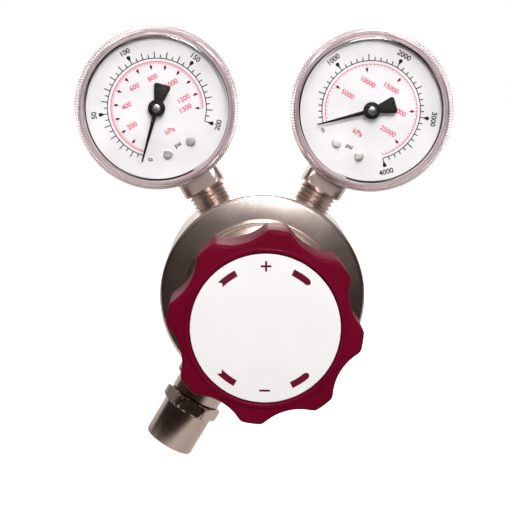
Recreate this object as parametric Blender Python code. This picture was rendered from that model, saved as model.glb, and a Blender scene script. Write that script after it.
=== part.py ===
"""Single-stage diaphragm gas regulator with two pressure gauges and a relief valve.

Units are metres, +Z is up and the regulator faces -Y. The origin is the centre of
the body's rear flat face. Nearly every piece is drawn in a front-facing frame: x to
the right, y up and z towards the viewer, so that z is the height above the rear face.
An empty turns that frame to face -Y, and the gauges and ports have empties below it.
"""

import math

import bmesh
import bpy
from mathutils import Matrix, Vector

# Clearances between separate pieces
SEAT_GAP = 0.0003
RUN_GAP = 0.0002

# Share of a rounded edge's radius that its middle point stands in from the corner
EDGE_SHARE = 0.3

# Regulator body, a turned bar
BODY_R = 0.033
BODY_CHAMFER = 0.001
SHOULDER_Z = 0.0255
SPIGOT_LENGTH = 0.0055
SPIGOT_WALL = 0.007
SPIGOT_STEP = 0.004
CHAMBER_DEPTH = 0.004
VALVE_BORE_R = 0.008
VALVE_BORE_FLOOR = 0.008
PORT_Z = 0.0155
PORT_DEPTH = 0.012
PORT_DRILL_R = 0.002
PORT_FACE_R = 0.0092
PASSAGE_R = 0.0015
MOUNT_HOLE_R = 0.0026
MOUNT_HOLE_DEPTH = 0.009
MOUNT_HOLE_SPACING = 0.032
MOUNT_HOLE_DROP = 0.016

# Port directions in degrees, anticlockwise from the right as seen from the front
INLET_ANGLE = 0
OUTLET_ANGLE = 180
INLET_GAUGE_ANGLE = 60
DELIVERY_GAUGE_ANGLE = 120
RELIEF_ANGLE = 240

# Every coil lies flat over its end turns, and its wire rises this share of its radius there
COIL_FLAT_TURNS = 0.75
COIL_FLAT_RISE = 2.2

# Quarter inch pipe thread on gauges and relief valve
THREAD_R = 0.0065
THREAD_REACH = 0.009

# Valve cartridge
NOZZLE_LENGTH = 0.0067
NOZZLE_PROUD = 0.0012
NOZZLE_STEM_HOLE_R = 0.0016
SEAT_RING_R = 0.0047
SEAT_RING_HOLE_R = 0.0014
SEAT_RING_THICKNESS = 0.0017
POPPET_HEAD_R = 0.0036
POPPET_HEAD_LENGTH = 0.0026
POPPET_STEM_R = 0.001
POPPET_SPRING_R = 0.0028
POPPET_SPRING_WIRE_R = 0.0004
POPPET_SPRING_TURNS = 3
FILTER_LENGTH = 0.0025
FILTER_R = 0.0058

# Diaphragm stack
DIAPHRAGM_THICKNESS = 0.0004
DIAPHRAGM_WAVE = 0.0006
DIAPHRAGM_WAVE_START = 0.60
DIAPHRAGM_WAVE_MIDDLE = 0.66
DIAPHRAGM_WAVE_END = 0.72
SLIP_RING_THICKNESS = 0.0014
SLIP_RING_WIDTH = 0.0065
PLATE_R = 0.0145
PLATE_THICKNESS = 0.0024
PLATE_BOSS_HEIGHT = 0.003

# Bonnet
BONNET_WALL = 0.0038
BONNET_RIM = 0.0014
COLLAR_STEP = 0.0018
COLLAR_HEIGHT = 0.0009
NECK_R = 0.0234
NECK_WALL = 0.0055
NECK_LENGTH = 0.019
NOSE_STEP = 0.0032
NOSE_TAPER = 0.004
NOSE_LENGTH = 0.009
NOSE_WALL = 0.005
NECK_EDGE = 0.0006
VENT_R = 0.0016
VENT_HEIGHT = 0.0115

# Adjusting screw, its bushing, ball, spring button and range spring
SCREW_R = 0.0057
SCREW_SPINDLE_R = 0.0045
BUSHING_R = 0.0087
BUSHING_FLANGE = 0.0104
BUSHING_FLANGE_HEIGHT = 0.0022
BALL_R = 0.0025
BALL_CUP_DEPTH = 0.001
BALL_CUP_R = 0.003
BUTTON_CLEARANCE = 0.0029
BUTTON_THICKNESS = 0.003
BUTTON_BOSS_HEIGHT = 0.0025
RANGE_SPRING_INSET = 0.0035
SPRING_GUIDE_CLEARANCE = 0.0021
RANGE_SPRING_WIRE_R = 0.0014
RANGE_SPRING_TURNS = 4
RANGE_SPRING_LENGTH = 0.0216
SPINDLE_LENGTH = 0.0068

# Knob
KNOB_STANDOFF = 0.0014
KNOB_HEIGHT = 0.0203
KNOB_LOBES = 8
KNOB_TIP_R = 0.0282
KNOB_VALLEY_R = 0.0250
KNOB_TIP_HALF_ANGLE = 6.5
KNOB_LOBE_PHASE = 82.5
KNOB_SCALLOP_FACES = 6
KNOB_EDGE = 0.0014
KNOB_BACK_EDGE = 0.0006
KNOB_RIM_R = 0.0232
KNOB_RIM_HEIGHT = 0.0006
KNOB_POCKET_DEPTH = 0.0012
KNOB_CAVITY_R = 0.0213
KNOB_CAVITY_DEPTH = 0.0165
KNOB_BOSS_R = 0.009
KNOB_BOSS_RECESS = 0.0095
LABEL_R = 0.0214
LABEL_THICKNESS = 0.0006
KNOB_SCREW_HEAD_R = 0.0062
KNOB_SCREW_HEAD_HEIGHT = 0.0012
KNOB_SCREW_R = 0.0022
KNOB_SCREW_LENGTH = 0.007

# Relief valve, measured outwards along its own axis
RELIEF_HEX_FLAT = 0.0088
RELIEF_TUBE_R = 0.0086
RELIEF_LOWER_HEX = 0.0057
RELIEF_COLLAR = 0.0047
RELIEF_CAP_HEX = 0.0046
RELIEF_CAP_TUBE = 0.0135
RELIEF_SPIGOT_R = 0.0064
RELIEF_SPIGOT_LENGTH = 0.005
RELIEF_WAY_R = 0.0021
RELIEF_POPPET_R = 0.0052
RELIEF_POPPET_HEIGHT = 0.0022
RELIEF_SEAL_THICKNESS = 0.0008
RELIEF_SEAL_R = 0.0040
RELIEF_SPRING_R = 0.0036
RELIEF_SPRING_WIRE_R = 0.00035
RELIEF_SPRING_TURNS = 3
RELIEF_ADJUSTER_THICKNESS = 0.0024
RELIEF_ADJUSTER_HOLE_R = 0.0022
RELIEF_ADJUSTER_INSET = 0.0026
RELIEF_EDGE = 0.0006

# Gauges: depths are from the stem's plane, and the dial is inset from the case's radius
SOCKET_LENGTH = 0.0112
FLATS_HALF = 0.007
FLATS_SHARE = 0.58
CASE_R = 0.0245
CASE_WALL = 0.0008
CASE_BACK_Z = -0.010
CASE_LIP = 0.0012
CASE_EDGE = 0.0015
STEM_NECK_R = 0.0055
BLOCK_HALF_WIDTH = 0.0065
BLOCK_BACK_Z = -0.006
BLOCK_FRONT_Z = 0.0100
BLOCK_TOP = 0.0122
WINDOW_OVERHANG = 0.002
WINDOW_FACE_INSET = 0.0013
WINDOW_SKIRT = 0.0028
WINDOW_FLANGE_LIP = 0.0007
WINDOW_HEIGHT = 0.0058
WINDOW_THICKNESS = 0.0022
WINDOW_BORE_INSET = 0.0011
GASKET_THICKNESS = 0.0006
DIAL_INSET = 0.0017
DIAL_THICKNESS = 0.0005
DIAL_HOLE_R = 0.0018
DIAL_SCREW_X = 0.0042
DIAL_SCREW_Y = -0.0146
DIAL_SCREW_HEAD_R = 0.00155
DIAL_SCREW_HEAD_HEIGHT = 0.0006
DIAL_SCREW_R = 0.0008
DIAL_SCREW_LENGTH = 0.005

# Gauge movement
MODULE = 0.00024
PINION_TEETH = 10
SECTOR_TEETH_FULL = 80
SECTOR_TEETH = 12
SECTOR_TEETH_AHEAD = 2
TOOTH_BACKLASH = 0.00014
TOOTH_TIP_SHARE = 0.55
TOOTH_ADDENDUM = 0.75
TOOTH_DEDENDUM = 1.35
SECTOR_DIRECTION = -60
SECTOR_THICKNESS = 0.001
SECTOR_TAIL_LENGTH = 0.006
SECTOR_TAIL_ANGLE = -20
MOVEMENT_PLATE = 0.001
MOVEMENT_DEPTH = 0.0066
MOVEMENT_LEFT = -0.0062
MOVEMENT_RIGHT = 0.0082
MOVEMENT_TOP = 0.0048
MOVEMENT_PILLAR_R = 0.001
ARBOR_R = 0.0005
PIVOT_R = 0.0006
SECTOR_HUB_R = 0.0018
SECTOR_ARM_HALF = 0.0011
MOVEMENT_FOOT = 0.0035
POINTER_LIFT = 0.0022
POINTER_THICKNESS = 0.0004
POINTER_INSET = 0.005
POINTER_TAIL = 0.0079
POINTER_TAIL_HALF = 0.0026
POINTER_NECK_HALF = 0.0009
POINTER_TIP_HALF = 0.00022
POINTER_HUB_R = 0.00275
POINTER_HUB_HEIGHT = 0.0016
ZERO_ANGLE = 225
TUBE_INSET = 0.0065
TUBE_HALF_THICKNESS = 0.0009
TUBE_HALF_WIDTH = 0.003
TUBE_END_ANGLE = -14
TUBE_PIN_R = 0.0005
TUBE_LUG_R = 0.0012
TUBE_CORNER = 0.6
TUBE_STEPS = 12
LINK_THICKNESS = 0.0006
LINK_HALF_WIDTH = 0.0011

# Faces round the turned pieces, from the largest outlines to the smallest holes
FINE = 40
ROUND = 28
HIDDEN = 20
SIX_SIDED = 24
SMALL = 16
TINY = 8

# Values that follow from the ones above
SPIGOT_Z = SHOULDER_Z + SPIGOT_LENGTH
SPIGOT_R = BODY_R - SPIGOT_STEP
CHAMBER_R = SPIGOT_R - SPIGOT_WALL
CHAMBER_FLOOR = SPIGOT_Z - CHAMBER_DEPTH
PORT_R = THREAD_R + SEAT_GAP
PORT_BOTTOM = BODY_R - PORT_DEPTH
PORT_FACE = math.sqrt(BODY_R ** 2 - PORT_FACE_R ** 2)
PASSAGE_OFFSET = CHAMBER_R - 2 * PASSAGE_R
NOZZLE_TOP = CHAMBER_FLOOR + NOZZLE_PROUD
NOZZLE_BOTTOM = NOZZLE_TOP - NOZZLE_LENGTH
DIAPHRAGM_R = SPIGOT_R - 2 * SEAT_GAP
DIAPHRAGM_Z = SPIGOT_Z + SEAT_GAP
DIAPHRAGM_TOP = DIAPHRAGM_Z + DIAPHRAGM_THICKNESS
PLATE_Z = DIAPHRAGM_TOP + SEAT_GAP
PLATE_TOP = PLATE_Z + PLATE_THICKNESS
SLIP_RING_TOP = PLATE_Z + SLIP_RING_THICKNESS
BONNET_CEILING = SLIP_RING_TOP + SEAT_GAP
BONNET_BACK = SHOULDER_Z + SEAT_GAP
BONNET_FACE = BONNET_CEILING + BONNET_WALL
NECK_END = BONNET_FACE + NECK_LENGTH
NOSE_START = NECK_END + NOSE_TAPER
BONNET_TOP = NOSE_START + NOSE_LENGTH
BONNET_BORE_R = BUSHING_R + SEAT_GAP
COLLAR_R = NECK_R + COLLAR_STEP
NOSE_R = NECK_R - NOSE_STEP
SPRING_ROOM_R = NECK_R - NECK_WALL
BUTTON_R = SPRING_ROOM_R - BUTTON_CLEARANCE
RANGE_SPRING_R = BUTTON_R - RANGE_SPRING_INSET
SPRING_GUIDE_R = RANGE_SPRING_R - RANGE_SPRING_WIRE_R - SPRING_GUIDE_CLEARANCE
RANGE_SPRING_Z = PLATE_TOP + SEAT_GAP
BUTTON_Z = RANGE_SPRING_Z + RANGE_SPRING_LENGTH + SEAT_GAP
BUTTON_TOP = BUTTON_Z + BUTTON_THICKNESS
BALL_Z = BUTTON_TOP - BALL_CUP_DEPTH + SEAT_GAP + BALL_R
SCREW_TIP = BALL_Z + BALL_R + SEAT_GAP - BALL_CUP_DEPTH
KNOB_BACK = BONNET_TOP + KNOB_STANDOFF
KNOB_FRONT = KNOB_BACK + KNOB_HEIGHT
KNOB_POCKET_FLOOR = KNOB_FRONT + KNOB_RIM_HEIGHT - KNOB_POCKET_DEPTH
KNOB_CAVITY_ROOF = KNOB_BACK + KNOB_CAVITY_DEPTH
KNOB_BOSS_BACK = KNOB_BACK + KNOB_BOSS_RECESS
KNOB_SCREW_SEAT = KNOB_POCKET_FLOOR - KNOB_SCREW_HEAD_HEIGHT - SEAT_GAP
SCREW_TOP = KNOB_SCREW_SEAT - SEAT_GAP
SCREW_SHOULDER = SCREW_TOP - SPINDLE_LENGTH
RELIEF_START = BODY_R + SEAT_GAP
RELIEF_COLLAR_START = RELIEF_START + RELIEF_LOWER_HEX
RELIEF_COLLAR_END = RELIEF_COLLAR_START + RELIEF_COLLAR
RELIEF_CAP_START = RELIEF_COLLAR_END + SEAT_GAP
RELIEF_TUBE_START = RELIEF_CAP_START + RELIEF_CAP_HEX
RELIEF_END = RELIEF_TUBE_START + RELIEF_CAP_TUBE
RELIEF_SEAT = RELIEF_COLLAR_END + RELIEF_SPIGOT_LENGTH
RELIEF_CAP_BORE = RELIEF_SPIGOT_R + SEAT_GAP
RELIEF_SEAL_START = RELIEF_SEAT + SEAT_GAP
RELIEF_POPPET_START = RELIEF_SEAL_START + RELIEF_SEAL_THICKNESS + SEAT_GAP
RELIEF_POPPET_END = RELIEF_POPPET_START + RELIEF_POPPET_HEIGHT
RELIEF_ADJUSTER_END = RELIEF_END - RELIEF_ADJUSTER_INSET
RELIEF_ADJUSTER_START = RELIEF_ADJUSTER_END - RELIEF_ADJUSTER_THICKNESS
STEM_END = BODY_R - THREAD_REACH
FLATS_END = BODY_R + SOCKET_LENGTH
FLATS_START = FLATS_END - FLATS_SHARE * SOCKET_LENGTH
GAUGE_REACH = FLATS_END + SEAT_GAP + CASE_R
WINDOW_FLANGE_R = CASE_R + WINDOW_OVERHANG
WINDOW_FACE_R = CASE_R - WINDOW_FACE_INSET
WINDOW_BORE_R = CASE_R - WINDOW_BORE_INSET
DIAL_R = CASE_R - DIAL_INSET
POINTER_LENGTH = DIAL_R - POINTER_INSET
TUBE_R = CASE_R - TUBE_INSET
PINION_PITCH_R = MODULE * PINION_TEETH / 2
SECTOR_PITCH_R = MODULE * SECTOR_TEETH_FULL / 2
MOVEMENT_FRONT = BLOCK_FRONT_Z + SEAT_GAP
MOVEMENT_TOP_Z = MOVEMENT_FRONT + MOVEMENT_PLATE
MOVEMENT_BACK = MOVEMENT_FRONT - MOVEMENT_DEPTH
DIAL_Z = MOVEMENT_TOP_Z + SEAT_GAP
DIAL_TOP = DIAL_Z + DIAL_THICKNESS
CASE_FRONT = DIAL_TOP + CASE_LIP
GASKET_Z = CASE_FRONT + SEAT_GAP
WINDOW_LEDGE = GASKET_Z + GASKET_THICKNESS + SEAT_GAP
WINDOW_BACK = CASE_FRONT - WINDOW_SKIRT
WINDOW_FLANGE_TOP = WINDOW_LEDGE + WINDOW_FLANGE_LIP
WINDOW_FACE = WINDOW_LEDGE + WINDOW_HEIGHT
POINTER_Z = DIAL_TOP + POINTER_LIFT
SECTOR_Z = (MOVEMENT_BACK + MOVEMENT_TOP_Z - SECTOR_THICKNESS) / 2
LINK_Z = SECTOR_Z + SECTOR_THICKNESS + SEAT_GAP
SCREW_WAY_R = DIAL_SCREW_R + SEAT_GAP
POINTER_TOP = POINTER_Z + POINTER_THICKNESS + POINTER_HUB_HEIGHT / 2
ARBOR_TOP = POINTER_TOP - POINTER_THICKNESS - SEAT_GAP
TUBE_START_ANGLE = 180 + math.degrees(
    math.acos((BLOCK_HALF_WIDTH + SEAT_GAP) / (TUBE_R - TUBE_HALF_THICKNESS)))


def clear_scene():
    """Start from an empty scene."""
    for item in list(bpy.data.objects):
        bpy.data.objects.remove(item, do_unlink=True)


def make_material(name, color, roughness, metallic, alpha=1.0):
    """Return a Principled material with one colour and finish."""
    material = bpy.data.materials.new(name)
    material.use_nodes = True
    shader = material.node_tree.nodes["Principled BSDF"]
    shader.inputs["Base Color"].default_value = (*color, 1.0)
    shader.inputs["Roughness"].default_value = roughness
    shader.inputs["Metallic"].default_value = metallic
    shader.inputs["Alpha"].default_value = alpha
    material.diffuse_color = (*color, alpha)
    return material


def make_empty(name, parent=None, matrix=None):
    """Add an empty that carries a frame of its own."""
    empty = bpy.data.objects.new(name, None)
    bpy.context.scene.collection.objects.link(empty)
    empty.parent = parent
    empty.matrix_basis = matrix or Matrix.Identity(4)
    return empty


def add_object(name, bm, material, parent, location=(0, 0, 0), turn=0.0):
    """Turn a bmesh into a named object, smooth where it is round."""
    bmesh.ops.recalc_face_normals(bm, faces=bm.faces)
    mesh = bpy.data.meshes.new(name)
    bm.to_mesh(mesh)
    bm.free()
    mesh.shade_smooth()
    mesh.set_sharp_from_angle(angle=math.radians(32))
    piece = bpy.data.objects.new(name, mesh)
    if material:
        mesh.materials.append(material)
    bpy.context.scene.collection.objects.link(piece)
    piece.parent = parent
    piece.location = location
    piece.rotation_euler = (0, 0, turn)
    return piece


def polar(radius, angle):
    """Return the x and y of a point at an angle in degrees."""
    return radius * math.cos(math.radians(angle)), radius * math.sin(math.radians(angle))


def circle(radius, count):
    """Outline of a circle."""
    return [polar(radius, 360 * i / count) for i in range(count)]


def polygon(flat_r, sides, count):
    """Outline of a regular polygon over its inscribed radius, sampled at equal angles."""
    step = 360 / sides
    points = []
    for i in range(count):
        angle = 360 * i / count
        off = (angle + step / 2) % step - step / 2
        points.append(polar(flat_r / math.cos(math.radians(off)), angle))
    return points


def rectangle(left, right, bottom, top, count):
    """Outline of a rectangle with the same number of points along each side."""
    corners = [(right, bottom), (right, top), (left, top), (left, bottom)]
    per_side = count // 4
    points = []
    for side in range(4):
        x0, y0 = corners[side]
        x1, y1 = corners[(side + 1) % 4]
        for i in range(per_side):
            share = i / per_side
            points.append((x0 + (x1 - x0) * share, y0 + (y1 - y0) * share))
    half = per_side // 2
    return points[half:] + points[:half]


def skin(rings, hollow=False):
    """Bridge a row of outlines, each given with its height, into one closed solid.

    A hollow solid joins its last outline to its first. An outline of one point makes
    a tip, and any other end is closed with one flat face.
    """
    bm = bmesh.new()
    loops = []
    for outline, height in rings:
        loops.append([bm.verts.new((x, y, height)) for x, y in outline])
    pairs = list(zip(loops, loops[1:]))
    if hollow:
        pairs.append((loops[-1], loops[0]))
    for low, high in pairs:
        count = max(len(low), len(high))
        for i in range(count):
            j = (i + 1) % count
            if len(low) == 1:
                bm.faces.new((low[0], high[i], high[j]))
            elif len(high) == 1:
                bm.faces.new((low[i], low[j], high[0]))
            else:
                bm.faces.new((low[i], low[j], high[j], high[i]))
    if not hollow:
        for end in (loops[0], loops[-1]):
            if len(end) > 1:
                bm.faces.new(end)
    return bm


def turned(profile, count, hollow=False):
    """Turn a profile of (radius, height) points about the z axis."""
    rings = []
    for radius, height in profile:
        outline = circle(radius, count) if radius > 0 else [(0.0, 0.0)]
        rings.append((outline, height))
    return skin(rings, hollow)


def plate(outline, low, high):
    """Extrude a flat outline between two heights."""
    return skin([(outline, low), (outline, high)])


def coil(radius, wire_r, low, high, turns, sides=5, steps_per_turn=12):
    """Sweep a round wire along a helix whose end turns lie flat."""
    bm = bmesh.new()
    steps = round(turns * steps_per_turn)
    closed_share = COIL_FLAT_TURNS / turns
    height = high - low - 2 * wire_r
    loops = []
    for i in range(steps + 1):
        share = i / steps
        rise = min(max((share - closed_share) / (1 - 2 * closed_share), 0.0), 1.0)
        first_lift = COIL_FLAT_RISE * wire_r * min(share / closed_share, 1.0)
        last_lift = COIL_FLAT_RISE * wire_r * max((share - 1 + closed_share) / closed_share, 0.0)
        middle = height - 2 * COIL_FLAT_RISE * wire_r
        z = low + wire_r + first_lift + middle * rise + last_lift
        angle = 2 * math.pi * turns * share
        outward = Vector((math.cos(angle), math.sin(angle), 0))
        centre = outward * radius + Vector((0, 0, z))
        loop = []
        for k in range(sides):
            around = 2 * math.pi * k / sides
            point = centre + wire_r * (math.cos(around) * outward + math.sin(around) * Vector((0, 0, 1)))
            loop.append(bm.verts.new(point))
        loops.append(loop)
    for low_loop, high_loop in zip(loops, loops[1:]):
        for k in range(sides):
            n = (k + 1) % sides
            bm.faces.new((low_loop[k], low_loop[n], high_loop[n], high_loop[k]))
    bm.faces.new(loops[0])
    bm.faces.new(loops[-1])
    bmesh.ops.triangulate(bm, faces=bm.faces)
    return bm


def cutter(name, bm, parent, location=(0, 0, 0), turn=0.0):
    """Add a guide solid that stays out of the model."""
    tool = add_object(name, bm, None, parent, location, turn)
    tool.hide_render = True
    tool.display_type = "WIRE"
    return tool


def combine(piece, tool, operation="DIFFERENCE"):
    """Cut a solid from a piece, or join it on."""
    modifier = piece.modifiers.new(tool.name, "BOOLEAN")
    modifier.operation = operation
    modifier.object = tool
    modifier.solver = "EXACT"


def build_body(front, ports, material):
    """Turned bar body with its diaphragm chamber, valve bore, ports and mounting holes."""
    body = add_object("body", turned([
        (0.0, 0.0),
        (BODY_R - BODY_CHAMFER, 0.0),
        (BODY_R, BODY_CHAMFER),
        (BODY_R, SHOULDER_Z),
        (SPIGOT_R, SHOULDER_Z),
        (SPIGOT_R, SPIGOT_Z),
        (CHAMBER_R, SPIGOT_Z),
        (CHAMBER_R, CHAMBER_FLOOR),
        (VALVE_BORE_R, CHAMBER_FLOOR),
        (VALVE_BORE_R, VALVE_BORE_FLOOR),
        (0.0, VALVE_BORE_FLOOR),
    ], FINE), material, front)
    outside = BODY_R + PORT_DRILL_R
    high_pressure = (INLET_ANGLE, INLET_GAUGE_ANGLE)
    with_face = (INLET_ANGLE, OUTLET_ANGLE)
    for angle, port in ports.items():
        inner_end = VALVE_BORE_R - PORT_DRILL_R / 2
        if angle not in high_pressure:
            inner_end = PASSAGE_OFFSET - PORT_DRILL_R
            x, y = polar(PASSAGE_OFFSET, angle)
            passage = plate(circle(PASSAGE_R, TINY), PORT_Z, CHAMBER_FLOOR + PASSAGE_R)
            combine(body, cutter(f"passage_{angle}", passage, front, (x, y, 0)))
        profile = [
            (0.0, inner_end),
            (PORT_DRILL_R, inner_end),
            (PORT_DRILL_R, PORT_BOTTOM),
            (PORT_R, PORT_BOTTOM + PORT_DRILL_R),
        ]
        if angle in with_face:
            profile += [(PORT_R, PORT_FACE), (PORT_FACE_R, PORT_FACE), (PORT_FACE_R, outside)]
        else:
            profile += [(PORT_R, outside)]
        profile += [(0.0, outside)]
        combine(body, cutter(f"port_{angle}", turned(profile, SMALL), port))
    for side in (-1, 1):
        hole = plate(circle(MOUNT_HOLE_R, SMALL), -BODY_CHAMFER, MOUNT_HOLE_DEPTH)
        place = (side * MOUNT_HOLE_SPACING / 2, -MOUNT_HOLE_DROP, 0)
        combine(body, cutter(f"mount_hole_{side}", hole, front, place))
    return body


def build_valve(front, inlet_port, steel, brass, soft):
    """Filter, nozzle, soft seat, poppet and poppet spring inside the body."""
    filter_start = PORT_BOTTOM + PORT_DRILL_R + SEAT_GAP
    add_object("inlet_filter", plate(circle(FILTER_R, SMALL), filter_start, filter_start + FILTER_LENGTH),
               brass, inlet_port)
    seat_top = NOZZLE_BOTTOM + SEAT_RING_THICKNESS + SEAT_GAP
    add_object("seat_nozzle", turned([
        (NOZZLE_STEM_HOLE_R, NOZZLE_TOP),
        (NOZZLE_STEM_HOLE_R, seat_top),
        (SEAT_RING_R + SEAT_GAP, seat_top),
        (SEAT_RING_R + SEAT_GAP, NOZZLE_BOTTOM),
        (VALVE_BORE_R - SEAT_GAP, NOZZLE_BOTTOM),
        (VALVE_BORE_R - SEAT_GAP, NOZZLE_TOP),
    ], SMALL, hollow=True), brass, front)
    seat_bottom = NOZZLE_BOTTOM
    add_object("valve_seat", turned([
        (SEAT_RING_HOLE_R, seat_bottom),
        (SEAT_RING_R, seat_bottom),
        (SEAT_RING_R, seat_bottom + SEAT_RING_THICKNESS),
        (SEAT_RING_HOLE_R, seat_bottom + SEAT_RING_THICKNESS),
    ], SMALL, hollow=True), soft, front)
    head_top = seat_bottom - SEAT_GAP
    head_back = head_top - POPPET_HEAD_LENGTH
    add_object("poppet", turned([
        (0.0, head_back),
        (POPPET_HEAD_R, head_back),
        (POPPET_HEAD_R, head_top - POPPET_STEM_R),
        (POPPET_HEAD_R - POPPET_STEM_R, head_top),
        (POPPET_STEM_R, head_top),
        (POPPET_STEM_R, SPIGOT_Z),
        (0.0, SPIGOT_Z),
    ], TINY), steel, front)
    add_object("poppet_spring", coil(POPPET_SPRING_R, POPPET_SPRING_WIRE_R, VALVE_BORE_FLOOR + SEAT_GAP,
                                     head_back - SEAT_GAP, POPPET_SPRING_TURNS), steel, front)


def build_diaphragm(front, steel, brass):
    """Diaphragm with one wave, its backing plate and the slip ring that clamps it."""
    wave = [(DIAPHRAGM_WAVE_START, 0.0), (DIAPHRAGM_WAVE_MIDDLE, DIAPHRAGM_WAVE), (DIAPHRAGM_WAVE_END, 0.0)]
    low = [(DIAPHRAGM_R * share, DIAPHRAGM_Z - lift) for share, lift in wave]
    high = [(radius, height + DIAPHRAGM_THICKNESS) for radius, height in reversed(low)]
    add_object("diaphragm", turned(
        [(0.0, DIAPHRAGM_Z)] + low + [(DIAPHRAGM_R, DIAPHRAGM_Z), (DIAPHRAGM_R, DIAPHRAGM_TOP)]
        + high + [(0.0, DIAPHRAGM_TOP)], HIDDEN), steel, front)
    add_object("diaphragm_plate", turned([
        (0.0, PLATE_Z),
        (PLATE_R, PLATE_Z),
        (PLATE_R, PLATE_TOP),
        (SPRING_GUIDE_R, PLATE_TOP),
        (SPRING_GUIDE_R, PLATE_TOP + PLATE_BOSS_HEIGHT),
        (0.0, PLATE_TOP + PLATE_BOSS_HEIGHT),
    ], SMALL), brass, front)
    slip_r = SPIGOT_R - SEAT_GAP
    add_object("slip_ring", turned([
        (slip_r - SLIP_RING_WIDTH, PLATE_Z),
        (slip_r, PLATE_Z),
        (slip_r, SLIP_RING_TOP),
        (slip_r - SLIP_RING_WIDTH, SLIP_RING_TOP),
    ], HIDDEN, hollow=True), brass, front)


def build_bonnet(front, material):
    """Screwed-on bonnet: skirt and face over the diaphragm, neck over the range spring."""
    skirt_r = SPIGOT_R + SEAT_GAP
    bonnet = add_object("bonnet", turned([
        (skirt_r, BONNET_BACK),
        (BODY_R, BONNET_BACK),
        (BODY_R, BONNET_FACE - BONNET_RIM),
        (BODY_R - EDGE_SHARE * BONNET_RIM, BONNET_FACE - EDGE_SHARE * BONNET_RIM),
        (BODY_R - BONNET_RIM, BONNET_FACE),
        (COLLAR_R, BONNET_FACE),
        (COLLAR_R - COLLAR_HEIGHT / 2, BONNET_FACE + COLLAR_HEIGHT),
        (NECK_R + NECK_EDGE, BONNET_FACE + COLLAR_HEIGHT),
        (NECK_R, BONNET_FACE + COLLAR_HEIGHT + NECK_EDGE),
        (NECK_R, NECK_END),
        (NOSE_R, NOSE_START),
        (NOSE_R, BONNET_TOP - NECK_EDGE),
        (NOSE_R - NECK_EDGE, BONNET_TOP),
        (BONNET_BORE_R, BONNET_TOP),
        (BONNET_BORE_R, BONNET_TOP - NOSE_WALL),
        (SPRING_ROOM_R, BONNET_TOP - NOSE_WALL),
        (SPRING_ROOM_R, BONNET_CEILING),
        (skirt_r, BONNET_CEILING),
    ], FINE, hollow=True), material, front)
    hole = cutter("vent_hole", plate(circle(VENT_R, SMALL), SPRING_ROOM_R - NECK_WALL, NECK_R + NECK_WALL),
                  front, (0, 0, BONNET_FACE + VENT_HEIGHT))
    hole.rotation_euler = (math.radians(90), 0, 0)
    combine(bonnet, hole)


def build_load(front, steel, brass, spring_steel):
    """Range spring, its button, the thrust ball, the bushing and the adjusting screw."""
    add_object("range_spring", coil(RANGE_SPRING_R, RANGE_SPRING_WIRE_R, RANGE_SPRING_Z,
                                    RANGE_SPRING_Z + RANGE_SPRING_LENGTH, RANGE_SPRING_TURNS),
               spring_steel, front)
    add_object("spring_button", turned([
        (0.0, BUTTON_Z - BUTTON_BOSS_HEIGHT),
        (SPRING_GUIDE_R, BUTTON_Z - BUTTON_BOSS_HEIGHT),
        (SPRING_GUIDE_R, BUTTON_Z),
        (BUTTON_R, BUTTON_Z),
        (BUTTON_R, BUTTON_TOP),
        (BALL_CUP_R, BUTTON_TOP),
        (BALL_CUP_R, BUTTON_TOP - BALL_CUP_DEPTH),
        (0.0, BUTTON_TOP - BALL_CUP_DEPTH),
    ], SMALL), steel, front)
    ball = bmesh.new()
    bmesh.ops.create_uvsphere(ball, u_segments=TINY, v_segments=8, radius=BALL_R)
    add_object("thrust_ball", ball, steel, front, (0, 0, BALL_Z))
    bore = circle(SCREW_R + RUN_GAP, SIX_SIDED)
    shank = circle(BUSHING_R, SIX_SIDED)
    flange = polygon(BUSHING_FLANGE, 6, SIX_SIDED)
    inner_end = BONNET_TOP - NOSE_WALL
    seat = BONNET_TOP + SEAT_GAP
    add_object("screw_bushing", skin([
        (bore, inner_end),
        (shank, inner_end),
        (shank, seat),
        (flange, seat),
        (flange, seat + BUSHING_FLANGE_HEIGHT),
        (bore, seat + BUSHING_FLANGE_HEIGHT),
    ], hollow=True), brass, front)
    screw_hole_r = KNOB_SCREW_R + SEAT_GAP
    tip_edge = BALL_CUP_DEPTH / 2
    add_object("adjusting_screw", turned([
        (0.0, SCREW_TIP + BALL_CUP_DEPTH),
        (BALL_CUP_R, SCREW_TIP + BALL_CUP_DEPTH),
        (BALL_CUP_R, SCREW_TIP),
        (SCREW_R - tip_edge, SCREW_TIP),
        (SCREW_R, SCREW_TIP + tip_edge),
        (SCREW_R, SCREW_SHOULDER),
        (SCREW_SPINDLE_R, SCREW_SHOULDER),
        (SCREW_SPINDLE_R, SCREW_TOP),
        (screw_hole_r, SCREW_TOP),
        (screw_hole_r, SCREW_TOP - KNOB_SCREW_LENGTH - SEAT_GAP),
        (0.0, SCREW_TOP - KNOB_SCREW_LENGTH - SEAT_GAP),
    ], SMALL), steel, front)


def lobed(tip_r, valley_r):
    """Outline of the knob: a short tip on each lobe and a hollow arc between two tips."""
    pitch = 360 / KNOB_LOBES
    along, across = polar(tip_r, pitch / 2 - KNOB_TIP_HALF_ANGLE)
    sag = along - valley_r
    arc_r = (across ** 2 + sag ** 2) / (2 * sag)
    span = math.asin(across / arc_r)
    points = []
    for lobe in range(KNOB_LOBES):
        tip_angle = KNOB_LOBE_PHASE + pitch * lobe
        points.append(polar(tip_r, tip_angle))
        for i in range(KNOB_SCALLOP_FACES + 1):
            swing = span * (2 * i / KNOB_SCALLOP_FACES - 1)
            x = valley_r + arc_r * (1 - math.cos(swing))
            y = arc_r * math.sin(swing)
            angle = tip_angle + pitch / 2 + math.degrees(math.atan2(y, x))
            points.append(polar(math.hypot(x, y), angle))
    return points


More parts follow.
